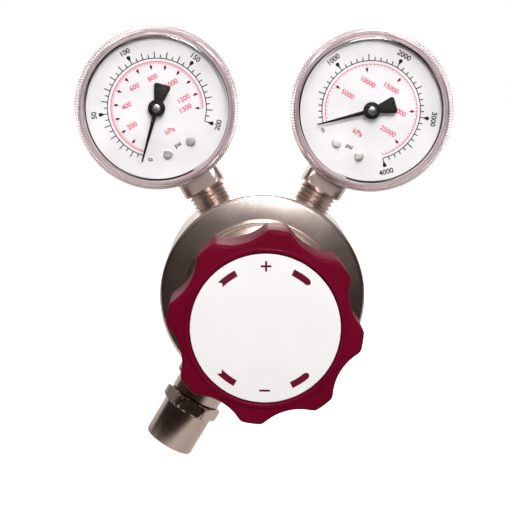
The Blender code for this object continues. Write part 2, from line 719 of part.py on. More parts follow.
def build_knob(front, knob_material, label_material, steel):
    """Lobed knob, hollow behind, with its label disc and the screw that holds it."""
    full = lobed(KNOB_TIP_R, KNOB_VALLEY_R)
    directions = [math.degrees(math.atan2(y, x)) for x, y in full]
    back = lobed(KNOB_TIP_R - KNOB_BACK_EDGE, KNOB_VALLEY_R - KNOB_BACK_EDGE)
    eased = lobed(KNOB_TIP_R - EDGE_SHARE * KNOB_EDGE, KNOB_VALLEY_R - EDGE_SHARE * KNOB_EDGE)
    face = lobed(KNOB_TIP_R - KNOB_EDGE, KNOB_VALLEY_R - KNOB_EDGE)
    rim = [polar(KNOB_RIM_R, angle) for angle in directions]
    pocket_r = LABEL_R + SEAT_GAP
    crest = [polar((KNOB_RIM_R + pocket_r) / 2, angle) for angle in directions]
    pocket = [polar(pocket_r, angle) for angle in directions]
    knob = add_object("knob", skin([
        (back, KNOB_BACK),
        (full, KNOB_BACK + KNOB_BACK_EDGE),
        (full, KNOB_FRONT - KNOB_EDGE),
        (eased, KNOB_FRONT - EDGE_SHARE * KNOB_EDGE),
        (face, KNOB_FRONT),
        (rim, KNOB_FRONT),
        (crest, KNOB_FRONT + KNOB_RIM_HEIGHT),
        (pocket, KNOB_FRONT + KNOB_RIM_HEIGHT / 2),
        (pocket, KNOB_POCKET_FLOOR),
    ]), knob_material, front)
    thread_hole_r = SCREW_R + SEAT_GAP
    spindle_hole_r = SCREW_SPINDLE_R + SEAT_GAP
    head_hole_r = KNOB_SCREW_HEAD_R + SEAT_GAP
    hollow = cutter("knob_hollow", turned([
        (0.0, KNOB_BACK - KNOB_EDGE),
        (KNOB_CAVITY_R, KNOB_BACK - KNOB_EDGE),
        (KNOB_CAVITY_R, KNOB_CAVITY_ROOF),
        (KNOB_BOSS_R, KNOB_CAVITY_ROOF),
        (KNOB_BOSS_R, KNOB_BOSS_BACK),
        (thread_hole_r, KNOB_BOSS_BACK),
        (thread_hole_r, SCREW_SHOULDER + SEAT_GAP),
        (spindle_hole_r, SCREW_SHOULDER + SEAT_GAP),
        (spindle_hole_r, KNOB_SCREW_SEAT),
        (head_hole_r, KNOB_SCREW_SEAT),
        (head_hole_r, KNOB_POCKET_FLOOR + KNOB_EDGE),
        (0.0, KNOB_POCKET_FLOOR + KNOB_EDGE),
    ], SMALL), front)
    combine(knob, hollow)
    label_z = KNOB_POCKET_FLOOR + SEAT_GAP
    add_object("knob_label", plate(circle(LABEL_R, ROUND), label_z, label_z + LABEL_THICKNESS),
               label_material, front)
    head_z = KNOB_SCREW_SEAT + SEAT_GAP
    head_top = head_z + KNOB_SCREW_HEAD_HEIGHT - SEAT_GAP
    add_object("knob_screw", turned([
        (0.0, SCREW_TOP - KNOB_SCREW_LENGTH),
        (KNOB_SCREW_R, SCREW_TOP - KNOB_SCREW_LENGTH),
        (KNOB_SCREW_R, head_z),
        (KNOB_SCREW_HEAD_R, head_z),
        (KNOB_SCREW_HEAD_R, head_top),
        (0.0, head_top),
    ], SMALL), steel, front)


def build_relief_valve(port, plated, steel, soft):
    """Spring-loaded relief valve screwed into its port, open at its outer end."""
    thread = circle(THREAD_R, SIX_SIDED)
    tube = circle(RELIEF_TUBE_R, SIX_SIDED)
    tube_edge = circle(RELIEF_TUBE_R - RELIEF_EDGE, SIX_SIDED)
    hexagon = polygon(RELIEF_HEX_FLAT, 6, SIX_SIDED)
    spigot = circle(RELIEF_SPIGOT_R, SIX_SIDED)
    way = circle(RELIEF_WAY_R, SIX_SIDED)
    stub_end = BODY_R - THREAD_REACH
    add_object("relief_body", skin([
        (way, stub_end),
        (thread, stub_end),
        (thread, RELIEF_START + RELIEF_EDGE),
        (hexagon, RELIEF_START + RELIEF_EDGE),
        (hexagon, RELIEF_COLLAR_START),
        (tube, RELIEF_COLLAR_START),
        (tube, RELIEF_COLLAR_END),
        (spigot, RELIEF_COLLAR_END),
        (spigot, RELIEF_SEAT),
        (way, RELIEF_SEAT),
    ], hollow=True), plated, port)
    bore = circle(RELIEF_CAP_BORE, SIX_SIDED)
    mouth = circle(RELIEF_CAP_BORE + RELIEF_EDGE, SIX_SIDED)
    add_object("relief_cap", skin([
        (bore, RELIEF_CAP_START),
        (hexagon, RELIEF_CAP_START),
        (hexagon, RELIEF_TUBE_START),
        (tube, RELIEF_TUBE_START),
        (tube, RELIEF_END - RELIEF_EDGE),
        (tube_edge, RELIEF_END),
        (mouth, RELIEF_END),
        (bore, RELIEF_END - RELIEF_EDGE),
    ], hollow=True), plated, port)
    add_object("relief_seal", plate(circle(RELIEF_SEAL_R, TINY), RELIEF_SEAL_START,
                                    RELIEF_SEAL_START + RELIEF_SEAL_THICKNESS), soft, port)
    guide_r = RELIEF_SPRING_R - RELIEF_SPRING_WIRE_R - RUN_GAP
    add_object("relief_poppet", turned([
        (0.0, RELIEF_POPPET_START),
        (RELIEF_POPPET_R, RELIEF_POPPET_START),
        (RELIEF_POPPET_R, RELIEF_POPPET_END),
        (guide_r, RELIEF_POPPET_END),
        (guide_r, RELIEF_POPPET_END + RELIEF_EDGE),
        (0.0, RELIEF_POPPET_END + RELIEF_EDGE),
    ], SMALL), steel, port)
    add_object("relief_spring", coil(RELIEF_SPRING_R, RELIEF_SPRING_WIRE_R, RELIEF_POPPET_END + SEAT_GAP,
                                     RELIEF_ADJUSTER_START - SEAT_GAP, RELIEF_SPRING_TURNS),
               steel, port)
    hole = circle(RELIEF_ADJUSTER_HOLE_R, SMALL)
    rim = circle(RELIEF_CAP_BORE - SEAT_GAP, SMALL)
    add_object("relief_adjuster", skin([
        (hole, RELIEF_ADJUSTER_START),
        (rim, RELIEF_ADJUSTER_START),
        (rim, RELIEF_ADJUSTER_END),
        (hole, RELIEF_ADJUSTER_END),
    ], hollow=True), steel, port)


def sector_pivot():
    """Place of the sector's shaft in the gauge's frame."""
    return Vector(polar(PINION_PITCH_R + SECTOR_PITCH_R, SECTOR_DIRECTION))


def tail_pin():
    """Place of the pin on the sector's tail at rest."""
    return sector_pivot() + Vector(polar(SECTOR_TAIL_LENGTH, SECTOR_TAIL_ANGLE))


def tooth(pitch_r, angle):
    """Four corners of one gear tooth, centred on an angle."""
    half = (math.pi * MODULE - TOOTH_BACKLASH * 2) / 4 / pitch_r
    root_half = math.degrees(half * (2 - TOOTH_TIP_SHARE))
    tip_half = math.degrees(half * TOOTH_TIP_SHARE)
    root_r = pitch_r - TOOTH_DEDENDUM * MODULE
    tip_r = pitch_r + TOOTH_ADDENDUM * MODULE
    return [
        polar(root_r, angle - root_half),
        polar(tip_r, angle - tip_half),
        polar(tip_r, angle + tip_half),
        polar(root_r, angle + root_half),
    ]


def build_case(gauge, port, prefix, metal):
    """Case cup with the hole for its stem."""
    case = add_object(prefix + "_case", turned([
        (0.0, CASE_BACK_Z),
        (CASE_R - CASE_EDGE, CASE_BACK_Z),
        (CASE_R, CASE_BACK_Z + CASE_EDGE),
        (CASE_R, CASE_FRONT),
        (CASE_R - CASE_WALL, CASE_FRONT),
        (CASE_R - CASE_WALL, CASE_BACK_Z + CASE_EDGE),
        (CASE_R - CASE_EDGE, CASE_BACK_Z + CASE_WALL),
        (0.0, CASE_BACK_Z + CASE_WALL),
    ], HIDDEN), metal, gauge)
    wall_start = GAUGE_REACH - CASE_R
    hole = plate(circle(STEM_NECK_R + SEAT_GAP, SMALL), wall_start - CASE_EDGE, wall_start + 2 * CASE_EDGE)
    combine(case, cutter(prefix + "_stem_hole", hole, port))


def build_window(gauge, prefix, clear, rubber):
    """Clear window that twists over the case, and its gasket."""
    skirt_r = CASE_R + SEAT_GAP
    edge = CASE_WALL / 2
    inner_face = WINDOW_FACE - WINDOW_THICKNESS
    add_object(prefix + "_window", turned([
        (0.0, inner_face),
        (WINDOW_BORE_R - CASE_WALL, inner_face),
        (WINDOW_BORE_R, inner_face - CASE_WALL),
        (WINDOW_BORE_R, WINDOW_LEDGE),
        (skirt_r, WINDOW_LEDGE),
        (skirt_r, WINDOW_BACK),
        (WINDOW_FLANGE_R - edge, WINDOW_BACK),
        (WINDOW_FLANGE_R, WINDOW_BACK + edge),
        (WINDOW_FLANGE_R, WINDOW_FLANGE_TOP),
        (WINDOW_FLANGE_R - CASE_WALL, WINDOW_FLANGE_TOP + CASE_WALL),
        (WINDOW_FACE_R + 2 * CASE_WALL, WINDOW_FACE - 2 * CASE_WALL),
        (WINDOW_FACE_R, WINDOW_FACE),
        (0.0, WINDOW_FACE),
    ], ROUND), clear, gauge)
    add_object(prefix + "_window_gasket", turned([
        (WINDOW_BORE_R, GASKET_Z),
        (CASE_R, GASKET_Z),
        (CASE_R, GASKET_Z + GASKET_THICKNESS),
        (WINDOW_BORE_R, GASKET_Z + GASKET_THICKNESS),
    ], SMALL, hollow=True), rubber, gauge)


def build_socket(port, gauge, prefix, plated):
    """Forged stem: pipe thread, wrench flats and the block inside the case."""
    thread = circle(THREAD_R, SMALL)
    flats = polygon(FLATS_HALF, 4, SMALL)
    neck = circle(STEM_NECK_R, SMALL)
    block = rectangle(-BLOCK_FRONT_Z, -BLOCK_BACK_Z, -BLOCK_HALF_WIDTH, BLOCK_HALF_WIDTH, SMALL)
    corner_r = CASE_R - 2 * CASE_WALL - SEAT_GAP
    block_start = GAUGE_REACH - math.sqrt(corner_r ** 2 - BLOCK_HALF_WIDTH ** 2)
    socket = add_object(prefix + "_socket", skin([
        (thread, STEM_END),
        (thread, FLATS_START),
        (flats, FLATS_START),
        (flats, FLATS_END),
        (neck, FLATS_END),
        (neck, block_start),
        (block, block_start),
        (block, GAUGE_REACH - BLOCK_TOP),
    ]), plated, port)
    hole_floor = DIAL_TOP - DIAL_SCREW_LENGTH - SEAT_GAP
    for side in (-1, 1):
        hole = plate(circle(SCREW_WAY_R, TINY), hole_floor, BLOCK_FRONT_Z + DIAL_SCREW_R)
        place = (side * DIAL_SCREW_X, DIAL_SCREW_Y, 0)
        combine(socket, cutter(f"{prefix}_block_hole_{side}", hole, gauge, place))


def build_dial(gauge, prefix, white, steel):
    """Dial plate and the two screws that hold it to the movement and the block."""
    hole = circle(DIAL_HOLE_R, HIDDEN)
    rim = circle(DIAL_R, HIDDEN)
    dial = add_object(prefix + "_dial", skin([
        (hole, DIAL_Z),
        (rim, DIAL_Z),
        (rim, DIAL_TOP),
        (hole, DIAL_TOP),
    ], hollow=True), white, gauge)
    head_z = DIAL_TOP + SEAT_GAP
    for side, word in ((-1, "left"), (1, "right")):
        place = (side * DIAL_SCREW_X, DIAL_SCREW_Y, 0)
        hole = plate(circle(SCREW_WAY_R, TINY), DIAL_Z - DIAL_THICKNESS, DIAL_TOP + DIAL_THICKNESS)
        combine(dial, cutter(f"{prefix}_dial_hole_{word}", hole, gauge, place))
        add_object(f"{prefix}_dial_screw_{word}", turned([
            (0.0, DIAL_TOP - DIAL_SCREW_LENGTH),
            (DIAL_SCREW_R, DIAL_TOP - DIAL_SCREW_LENGTH),
            (DIAL_SCREW_R, head_z),
            (DIAL_SCREW_HEAD_R, head_z),
            (DIAL_SCREW_HEAD_R, head_z + DIAL_SCREW_HEAD_HEIGHT),
            (0.0, head_z + DIAL_SCREW_HEAD_HEIGHT),
        ], TINY), steel, gauge, place)


def build_movement_frame(gauge, prefix, brass):
    """Two plates and two pillars that carry the arbor and the sector."""
    pivot_x, pivot_y = sector_pivot()
    foot = DIAL_SCREW_Y - MOVEMENT_FOOT
    back_edge = SEAT_GAP - BLOCK_TOP
    front_plate = rectangle(MOVEMENT_LEFT, MOVEMENT_RIGHT, foot, MOVEMENT_TOP, 4)
    back_plate = rectangle(MOVEMENT_LEFT, MOVEMENT_RIGHT, back_edge, MOVEMENT_TOP, 4)
    frame = add_object(prefix + "_movement_frame", plate(front_plate, MOVEMENT_FRONT, MOVEMENT_TOP_Z),
                       brass, gauge)
    back = plate(back_plate, MOVEMENT_BACK, MOVEMENT_BACK + MOVEMENT_PLATE)
    combine(frame, cutter(prefix + "_back_plate", back, gauge), "UNION")
    inset = MOVEMENT_PILLAR_R + SEAT_GAP
    for word, x in (("left", MOVEMENT_LEFT + inset), ("right", MOVEMENT_RIGHT - inset)):
        pillar = plate(circle(MOVEMENT_PILLAR_R, TINY), MOVEMENT_BACK + MOVEMENT_PLATE / 2,
                       MOVEMENT_FRONT + MOVEMENT_PLATE / 2)
        place = (x, MOVEMENT_TOP - inset, 0)
        combine(frame, cutter(f"{prefix}_pillar_{word}", pillar, gauge, place), "UNION")
    holes = [
        ("arbor", (0.0, 0.0), ARBOR_R + RUN_GAP),
        ("sector", (pivot_x, pivot_y), PIVOT_R + RUN_GAP),
        ("left", (-DIAL_SCREW_X, DIAL_SCREW_Y), SCREW_WAY_R),
        ("right", (DIAL_SCREW_X, DIAL_SCREW_Y), SCREW_WAY_R),
    ]
    for word, (x, y), radius in holes:
        hole = plate(circle(radius, TINY), MOVEMENT_BACK - MOVEMENT_PLATE, MOVEMENT_TOP_Z + MOVEMENT_PLATE)
        combine(frame, cutter(f"{prefix}_frame_hole_{word}", hole, gauge, (x, y, 0)))


def build_gear_train(gauge, prefix, brass, steel):
    """Toothed sector with its shaft and tail, the pinion arbor and the link."""
    pivot_x, pivot_y = sector_pivot()
    pitch = 360 / SECTOR_TEETH_FULL
    mesh_angle = SECTOR_DIRECTION + 180
    last = mesh_angle + SECTOR_TEETH_AHEAD * pitch
    tail_x, tail_y = polar(SECTOR_TAIL_LENGTH + SECTOR_ARM_HALF, SECTOR_TAIL_ANGLE)
    side_x, side_y = polar(SECTOR_ARM_HALF, SECTOR_TAIL_ANGLE + 90)
    outline = [(tail_x - side_x, tail_y - side_y), (tail_x + side_x, tail_y + side_y)]
    outline.append(polar(SECTOR_HUB_R, SECTOR_TAIL_ANGLE + 50))
    for k in range(SECTOR_TEETH):
        outline += tooth(SECTOR_PITCH_R, last - (SECTOR_TEETH - 1 - k) * pitch)
    outline += [polar(SECTOR_HUB_R, angle) for angle in (last + 30, last + 80, last + 130)]
    place = (pivot_x, pivot_y, 0)
    sector = add_object(prefix + "_sector_gear", plate(outline, SECTOR_Z, SECTOR_Z + SECTOR_THICKNESS),
                        brass, gauge, place)
    shaft = plate(circle(PIVOT_R, TINY), MOVEMENT_BACK + RUN_GAP, MOVEMENT_TOP_Z - RUN_GAP)
    combine(sector, cutter(prefix + "_sector_shaft", shaft, gauge, place), "UNION")
    pin = plate(circle(TUBE_PIN_R, TINY), SECTOR_Z + SECTOR_THICKNESS / 2, LINK_Z + LINK_THICKNESS + SEAT_GAP)
    combine(sector, cutter(prefix + "_tail_pin", pin, gauge, (*tail_pin(), 0)), "UNION")

    gear = []
    pinion_pitch = 360 / PINION_TEETH
    for k in range(PINION_TEETH):
        gear += tooth(PINION_PITCH_R, SECTOR_DIRECTION + (k + 0.5) * pinion_pitch)
    arbor = add_object(prefix + "_pinion_arbor", plate(gear, SECTOR_Z - SEAT_GAP,
                                                       SECTOR_Z + SECTOR_THICKNESS + SEAT_GAP), steel, gauge)
    shaft = plate(circle(ARBOR_R, TINY), MOVEMENT_BACK + RUN_GAP, ARBOR_TOP)
    combine(arbor, cutter(prefix + "_arbor_shaft", shaft, gauge), "UNION")

    start = tail_pin()
    run = Vector(polar(TUBE_R, TUBE_END_ANGLE)) - start
    ends = LINK_HALF_WIDTH
    bar = rectangle(-ends, run.length + ends, -ends, ends, 4)
    link = add_object(prefix + "_link", plate(bar, LINK_Z, LINK_Z + LINK_THICKNESS), brass, gauge,
                      (*start, 0), math.atan2(run.y, run.x))
    for word, spot in (("tail", start), ("tip", start + run)):
        hole = plate(circle(TUBE_PIN_R + RUN_GAP, TINY), SECTOR_Z, LINK_Z + 2 * LINK_THICKNESS)
        combine(link, cutter(f"{prefix}_link_hole_{word}", hole, gauge, (*spot, 0)))


def build_bourdon_tube(gauge, prefix, bronze):
    """Flattened tube bent to a C, with the lug and pin that the link hangs on."""
    bm = bmesh.new()
    side = TUBE_CORNER
    corners = [(1, 0), (side, 1), (-side, 1), (-1, 0), (-side, -1), (side, -1)]
    section = [(TUBE_HALF_THICKNESS * out, TUBE_HALF_WIDTH * up) for out, up in corners]
    loops = []
    for i in range(TUBE_STEPS + 1):
        angle = TUBE_START_ANGLE + (TUBE_END_ANGLE - TUBE_START_ANGLE) * i / TUBE_STEPS
        loop = []
        for out, up in section:
            x, y = polar(TUBE_R + out, angle)
            loop.append(bm.verts.new((x, y, up)))
        loops.append(loop)
    for low, high in zip(loops, loops[1:]):
        for k in range(len(section)):
            n = (k + 1) % len(section)
            bm.faces.new((low[k], low[n], high[n], high[k]))
    bm.faces.new(loops[0])
    bm.faces.new(loops[-1])
    tube = add_object(prefix + "_bourdon_tube", bm, bronze, gauge)
    lug = turned([
        (0.0, -TUBE_HALF_WIDTH / 2),
        (TUBE_LUG_R, -TUBE_HALF_WIDTH / 2),
        (TUBE_LUG_R, LINK_Z - SEAT_GAP),
        (TUBE_PIN_R, LINK_Z - SEAT_GAP),
        (TUBE_PIN_R, LINK_Z + LINK_THICKNESS + SEAT_GAP),
        (0.0, LINK_Z + LINK_THICKNESS + SEAT_GAP),
    ], TINY)
    combine(tube, cutter(prefix + "_tip_lug", lug, gauge, (*polar(TUBE_R, TUBE_END_ANGLE), 0)), "UNION")


def build_pointer(gauge, prefix, black):
    """Pointer with a tapered needle, a fan-shaped tail and a hub pressed on the arbor."""
    zero = math.radians(ZERO_ANGLE)
    outline = [
        (POINTER_LENGTH, -POINTER_TIP_HALF),
        (POINTER_LENGTH, POINTER_TIP_HALF),
        (0.0, POINTER_NECK_HALF),
        (-POINTER_TAIL + POINTER_NECK_HALF, POINTER_TAIL_HALF),
        (-POINTER_TAIL, POINTER_TAIL_HALF - POINTER_NECK_HALF),
        (-POINTER_TAIL, POINTER_NECK_HALF - POINTER_TAIL_HALF),
        (-POINTER_TAIL + POINTER_NECK_HALF, -POINTER_TAIL_HALF),
        (0.0, -POINTER_NECK_HALF),
    ]
    pointer = add_object(prefix + "_pointer", plate(outline, POINTER_Z, POINTER_Z + POINTER_THICKNESS),
                         black, gauge, turn=zero)
    hub_back = POINTER_Z - POINTER_HUB_HEIGHT / 2
    hub = plate(circle(POINTER_HUB_R, SMALL), hub_back, POINTER_TOP)
    combine(pointer, cutter(prefix + "_pointer_hub", hub, gauge), "UNION")
    bore = plate(circle(ARBOR_R + RUN_GAP, TINY), hub_back - POINTER_THICKNESS, ARBOR_TOP + SEAT_GAP)
    combine(pointer, cutter(prefix + "_pointer_bore", bore, gauge))


def main():
    """Build the regulator, its relief valve and its two gauges."""
    clear_scene()
    plated = make_material("nickel plate", (0.62, 0.55, 0.51), 0.28, 1.0)
    steel = make_material("stainless steel", (0.63, 0.62, 0.60), 0.3, 1.0)
    spring_steel = make_material("spring steel", (0.35, 0.36, 0.38), 0.4, 1.0)
    brass = make_material("brass", (0.72, 0.55, 0.28), 0.35, 1.0)
    bronze = make_material("bronze", (0.65, 0.42, 0.24), 0.4, 1.0)
    soft = make_material("seat polymer", (0.9, 0.9, 0.86), 0.5, 0.0)
    rubber = make_material("rubber", (0.05, 0.05, 0.05), 0.7, 0.0)
    burgundy = make_material("knob plastic", (0.25, 0.005, 0.05), 0.35, 0.0)
    white = make_material("white enamel", (0.9, 0.9, 0.88), 0.4, 0.0)
    black = make_material("black enamel", (0.02, 0.02, 0.02), 0.4, 0.0)
    clear = make_material("clear window", (0.95, 0.9, 0.9), 0.05, 0.0, 0.25)

    front = make_empty("front_frame", None, Matrix.Rotation(math.radians(90), 4, "X"))
    ports = {}
    for angle in (INLET_ANGLE, INLET_GAUGE_ANGLE, DELIVERY_GAUGE_ANGLE, OUTLET_ANGLE, RELIEF_ANGLE):
        direction = Matrix.Rotation(math.radians(angle), 4, "Z") @ Matrix.Rotation(math.radians(90), 4, "Y")
        ports[angle] = make_empty(f"port_frame_{angle}", front, Matrix.Translation((0, 0, PORT_Z)) @ direction)

    build_body(front, ports, plated)
    build_valve(front, ports[INLET_ANGLE], steel, brass, soft)
    build_diaphragm(front, steel, brass)
    build_bonnet(front, plated)
    build_load(front, steel, brass, spring_steel)
    build_knob(front, burgundy, white, steel)
    build_relief_valve(ports[RELIEF_ANGLE], plated, steel, rubber)
    for prefix, angle in (("inlet_gauge", INLET_GAUGE_ANGLE), ("delivery_gauge", DELIVERY_GAUGE_ANGLE)):
        x, y = polar(GAUGE_REACH, angle)
        place = Matrix.Translation((x, y, PORT_Z)) @ Matrix.Rotation(math.radians(angle - 90), 4, "Z")
        gauge = make_empty(prefix + "_frame", front, place)
        build_case(gauge, ports[angle], prefix, steel)
        build_window(gauge, prefix, clear, rubber)
        build_socket(ports[angle], gauge, prefix, plated)
        build_dial(gauge, prefix, white, steel)
        build_movement_frame(gauge, prefix, brass)
        build_gear_train(gauge, prefix, brass, steel)
        build_bourdon_tube(gauge, prefix, bronze)
        build_pointer(gauge, prefix, black)


main()
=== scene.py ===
import math

import bmesh
import bpy
from bpy.props import FloatProperty, FloatVectorProperty, IntProperty, PointerProperty
from mathutils import Matrix, Vector


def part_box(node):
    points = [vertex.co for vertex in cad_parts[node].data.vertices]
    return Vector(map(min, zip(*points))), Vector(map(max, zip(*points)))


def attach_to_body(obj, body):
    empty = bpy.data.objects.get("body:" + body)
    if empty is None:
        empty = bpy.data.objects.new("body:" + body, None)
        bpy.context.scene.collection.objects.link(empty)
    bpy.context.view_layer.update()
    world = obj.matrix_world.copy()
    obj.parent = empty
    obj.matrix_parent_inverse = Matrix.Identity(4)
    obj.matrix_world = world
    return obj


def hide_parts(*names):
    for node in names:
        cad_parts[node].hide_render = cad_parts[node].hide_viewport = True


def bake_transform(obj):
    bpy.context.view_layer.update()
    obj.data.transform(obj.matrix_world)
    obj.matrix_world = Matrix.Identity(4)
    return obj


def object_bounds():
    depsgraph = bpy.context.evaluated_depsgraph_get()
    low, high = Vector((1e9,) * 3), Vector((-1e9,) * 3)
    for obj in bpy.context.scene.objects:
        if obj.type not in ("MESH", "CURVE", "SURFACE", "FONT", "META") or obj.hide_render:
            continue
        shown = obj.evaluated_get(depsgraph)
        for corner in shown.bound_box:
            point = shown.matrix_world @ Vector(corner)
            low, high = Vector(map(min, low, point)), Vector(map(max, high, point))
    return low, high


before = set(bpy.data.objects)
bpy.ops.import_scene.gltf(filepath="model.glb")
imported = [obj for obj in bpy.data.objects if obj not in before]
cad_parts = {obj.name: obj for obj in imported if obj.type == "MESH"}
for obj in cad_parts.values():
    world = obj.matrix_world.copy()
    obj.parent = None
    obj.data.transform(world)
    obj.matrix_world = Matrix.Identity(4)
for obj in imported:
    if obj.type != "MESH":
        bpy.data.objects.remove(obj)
CAD_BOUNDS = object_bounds()

bl_info = {
    "name": "Gas Regulator Finish",
    "version": (1, 0, 0),
    "blender": (4, 5, 0),
    "location": "View3D > Sidebar > Regulator",
    "description": "Dresses a diaphragm gas regulator with fine surfaces and finishes",
    "category": "Object",
}


def node_low(node):
    """Lowest corner of a node's box."""
    return Vector(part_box(node)[0])


def node_high(node):
    """Highest corner of a node's box."""
    return Vector(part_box(node)[1])


def node_centre(node):
    """Middle of a node's box."""
    return (node_low(node) + node_high(node)) / 2


def node_radius(node):
    """Half the width of a round node."""
    return (node_high(node).x - node_low(node).x) / 2


# The frame's own places: depths are heights above the rear face, towards the viewer
FRONT = Matrix.Rotation(math.radians(90), 4, "X")
PORT_DEPTH = -node_centre("relief_cap").y
BODY_RADIUS = node_radius("body")
SPIGOT_TOP = -node_low("body").y
BONNET_BACK = -node_high("bonnet").y
BONNET_TOP = -node_low("bonnet").y
KNOB_BACK = -node_high("knob").y
KNOB_TOP = -node_low("knob").y
LABEL_BACK = -node_high("knob_label").y
LABEL_TOP = -node_low("knob_label").y
LABEL_RADIUS = node_radius("knob_label")
GAUGES = {"inlet_gauge": 60, "delivery_gauge": 120}
RELIEF_ANGLE = 240

# Sizes that several pieces share
SEAT_GAP = 0.0003
SPIGOT_STEP = 0.004
PORT_RADIUS = 0.0068
THREAD_RADIUS = 0.0065
THREAD_ROOT = 0.0058
SCREW_HOLE = 0.0011
MERGE = 1e-7

# Where a gauge's scales start and how far they turn in degrees, and one psi in kPa
DIAL_ZERO = 225
DIAL_SWEEP = 270
PSI_IN_KPA = 6.895
SCALES = {
    "inlet_gauge": {
        "full": 4000, "step": 100, "long": 500, "major": 1000, "red_step": 500, "red_long": 5000,
        "red_numbers": (5000, 10000, 15000, 20000, 25000), "red_end": 27500,
    },
    "delivery_gauge": {
        "full": 200, "step": 5, "long": 10, "major": 50, "red_step": 10, "red_long": 100,
        "red_numbers": (200, 400, 600, 800, 1000, 1200, 1300), "red_end": 1300,
    },
}

# Each shared finish with its colour property, its metallic value and its roughness
SHARED_FINISHES = {
    "stainless_fine": ("steel_color", 1.0, 0.22),
    "spring_steel": ("steel_color", 1.0, 0.35),
    "brass": ("brass_color", 1.0, 0.28),
    "bronze": ("bronze_color", 1.0, 0.35),
    "seat_polymer": ("white_color", 0.0, 0.45),
    "black_rubber": ("ink_color", 0.0, 0.6),
    "gasket_rubber": ("gasket_color", 0.0, 0.6),
    "black_enamel": ("ink_color", 0.0, 0.5),
    "black_ink": ("ink_color", 0.0, 0.5),
    "red_ink": ("red_color", 0.0, 0.5),
    "dark_red_ink": ("knob_color", 0.0, 0.5),
    "zinc_screw": ("steel_color", 1.0, 0.36),
    # Painted shade: the dials' enamel is a darker copy of the white
    "dial_enamel": ("dial_color", 0.0, 0.5),
}
INSIDE_FINISHES = {
    "seat_nozzle": "brass", "valve_seat": "seat_polymer", "poppet": "stainless_fine",
    "inlet_filter": "brass", "poppet_spring": "spring_steel", "diaphragm": "stainless_fine",
    "diaphragm_plate": "brass", "slip_ring": "brass", "range_spring": "spring_steel",
    "spring_button": "stainless_fine", "thrust_ball": "stainless_fine", "screw_bushing": "brass",
    "adjusting_screw": "stainless_fine", "knob_screw": "stainless_fine",
    "relief_seal": "black_rubber", "relief_poppet": "stainless_fine",
    "relief_spring": "spring_steel", "relief_adjuster": "stainless_fine",
    "window_gasket": "seat_polymer", "bourdon_tube": "bronze", "movement_frame": "brass",
    "sector_gear": "brass", "pinion_arbor": "stainless_fine", "link": "brass",
}


def gauge_depth(node, side):
    """Depth of a gauge node's back or front face from the stem's plane."""
    corner = node_high(node) if side == "back" else node_low(node)
    return -corner.y - PORT_DEPTH


def gauge_depths(node):
    """Depths of a gauge node's back and front faces."""
    return gauge_depth(node, "back"), gauge_depth(node, "front")


class RegulatorSizes(bpy.types.PropertyGroup):
    """Sizes of the fine shapes, in metres."""

    round_faces: IntProperty(name="Round faces", description="Faces round a large turned piece",
                             default=144, min=32)
    edge: FloatProperty(name="Edge", description="Radius of a broken edge on turned metal",
                        default=0.0004, unit="LENGTH")
    rim: FloatProperty(name="Bonnet rim", description="Radius of the bonnet's outer edge",
                       default=0.0014, unit="LENGTH")
    knob_edge: FloatProperty(name="Knob edge", description="Radius of the knob's front edge",
                             default=0.0012, unit="LENGTH")
    thread_pitch: FloatProperty(name="Thread pitch", description="Pitch of the gauge's pipe thread",
                                default=0.00141, unit="LENGTH")
    thread_height: FloatProperty(name="Thread height", description="Height of the pipe thread",
                                 default=0.0009, unit="LENGTH")
    knurls: IntProperty(name="Knurls", description="Ribs round the gauge window's flange",
                        default=180, min=12)
    print_height: FloatProperty(name="Print height", description="Thickness of printed marks",
                                default=0.00003, unit="LENGTH")


class RegulatorFinish(bpy.types.PropertyGroup):
    """Colours of the finishes."""

    plate_color: FloatVectorProperty(name="Plating", description="Warm nickel plating",
                                     default=(0.60, 0.50, 0.452), size=3, subtype="COLOR")
    # Painted shade: a darker copy of the nickel plating, given to the relief valve
    relief_color: FloatVectorProperty(name="Relief valve", description="Relief valve's plating",
                                      default=(0.41, 0.32, 0.275), size=3, subtype="COLOR")
    steel_color: FloatVectorProperty(name="Steel", description="Bare stainless steel",
                                     default=(0.62, 0.61, 0.60), size=3, subtype="COLOR")
    brass_color: FloatVectorProperty(name="Brass", description="Machined brass",
                                     default=(0.78, 0.58, 0.28), size=3, subtype="COLOR")
    bronze_color: FloatVectorProperty(name="Bronze", description="Phosphor bronze",
                                      default=(0.62, 0.38, 0.22), size=3, subtype="COLOR")
    knob_color: FloatVectorProperty(name="Knob", description="Moulded knob plastic",
                                    default=(0.14, 0.002, 0.017), size=3, subtype="COLOR")
    white_color: FloatVectorProperty(name="White", description="Dial and label ground",
                                     default=(0.9, 0.9, 0.9), size=3, subtype="COLOR")
    # Painted shade: the dials' white enamel is a darker copy of the label's white, so that light
    # reaching the dials twice through the windows still renders as white
    dial_color: FloatVectorProperty(name="Dial", description="Dials behind the clear windows",
                                    default=(0.60, 0.595, 0.60), size=3, subtype="COLOR")
    gasket_color: FloatVectorProperty(name="Gasket", description="Rubber rings behind the windows",
                                      default=(0.34, 0.27, 0.28), size=3, subtype="COLOR")
    ink_color: FloatVectorProperty(name="Ink", description="Black print and pointer",
                                   default=(0.005, 0.005, 0.005), size=3, subtype="COLOR")
    red_color: FloatVectorProperty(name="Red print", description="Red print on the dials",
                                   default=(0.50, 0.07, 0.12), size=3, subtype="COLOR")
    clear_color: FloatVectorProperty(name="Window", description="Clear window plastic",
                                     default=(0.98, 0.975, 0.98), size=3, subtype="COLOR")
    # Painted shade: a darker, pinker copy of the clear plastic for the window's thick ring,
    # standing in for the dark surroundings seen through it
    ring_color: FloatVectorProperty(name="Window ring", description="Thick edge of the window",
                                    default=(0.58, 0.46, 0.48), size=3, subtype="COLOR")


# Small helpers for shapes


def polar(radius, angle):
    """The x and y of a point at an angle in degrees."""
    return radius * math.cos(math.radians(angle)), radius * math.sin(math.radians(angle))


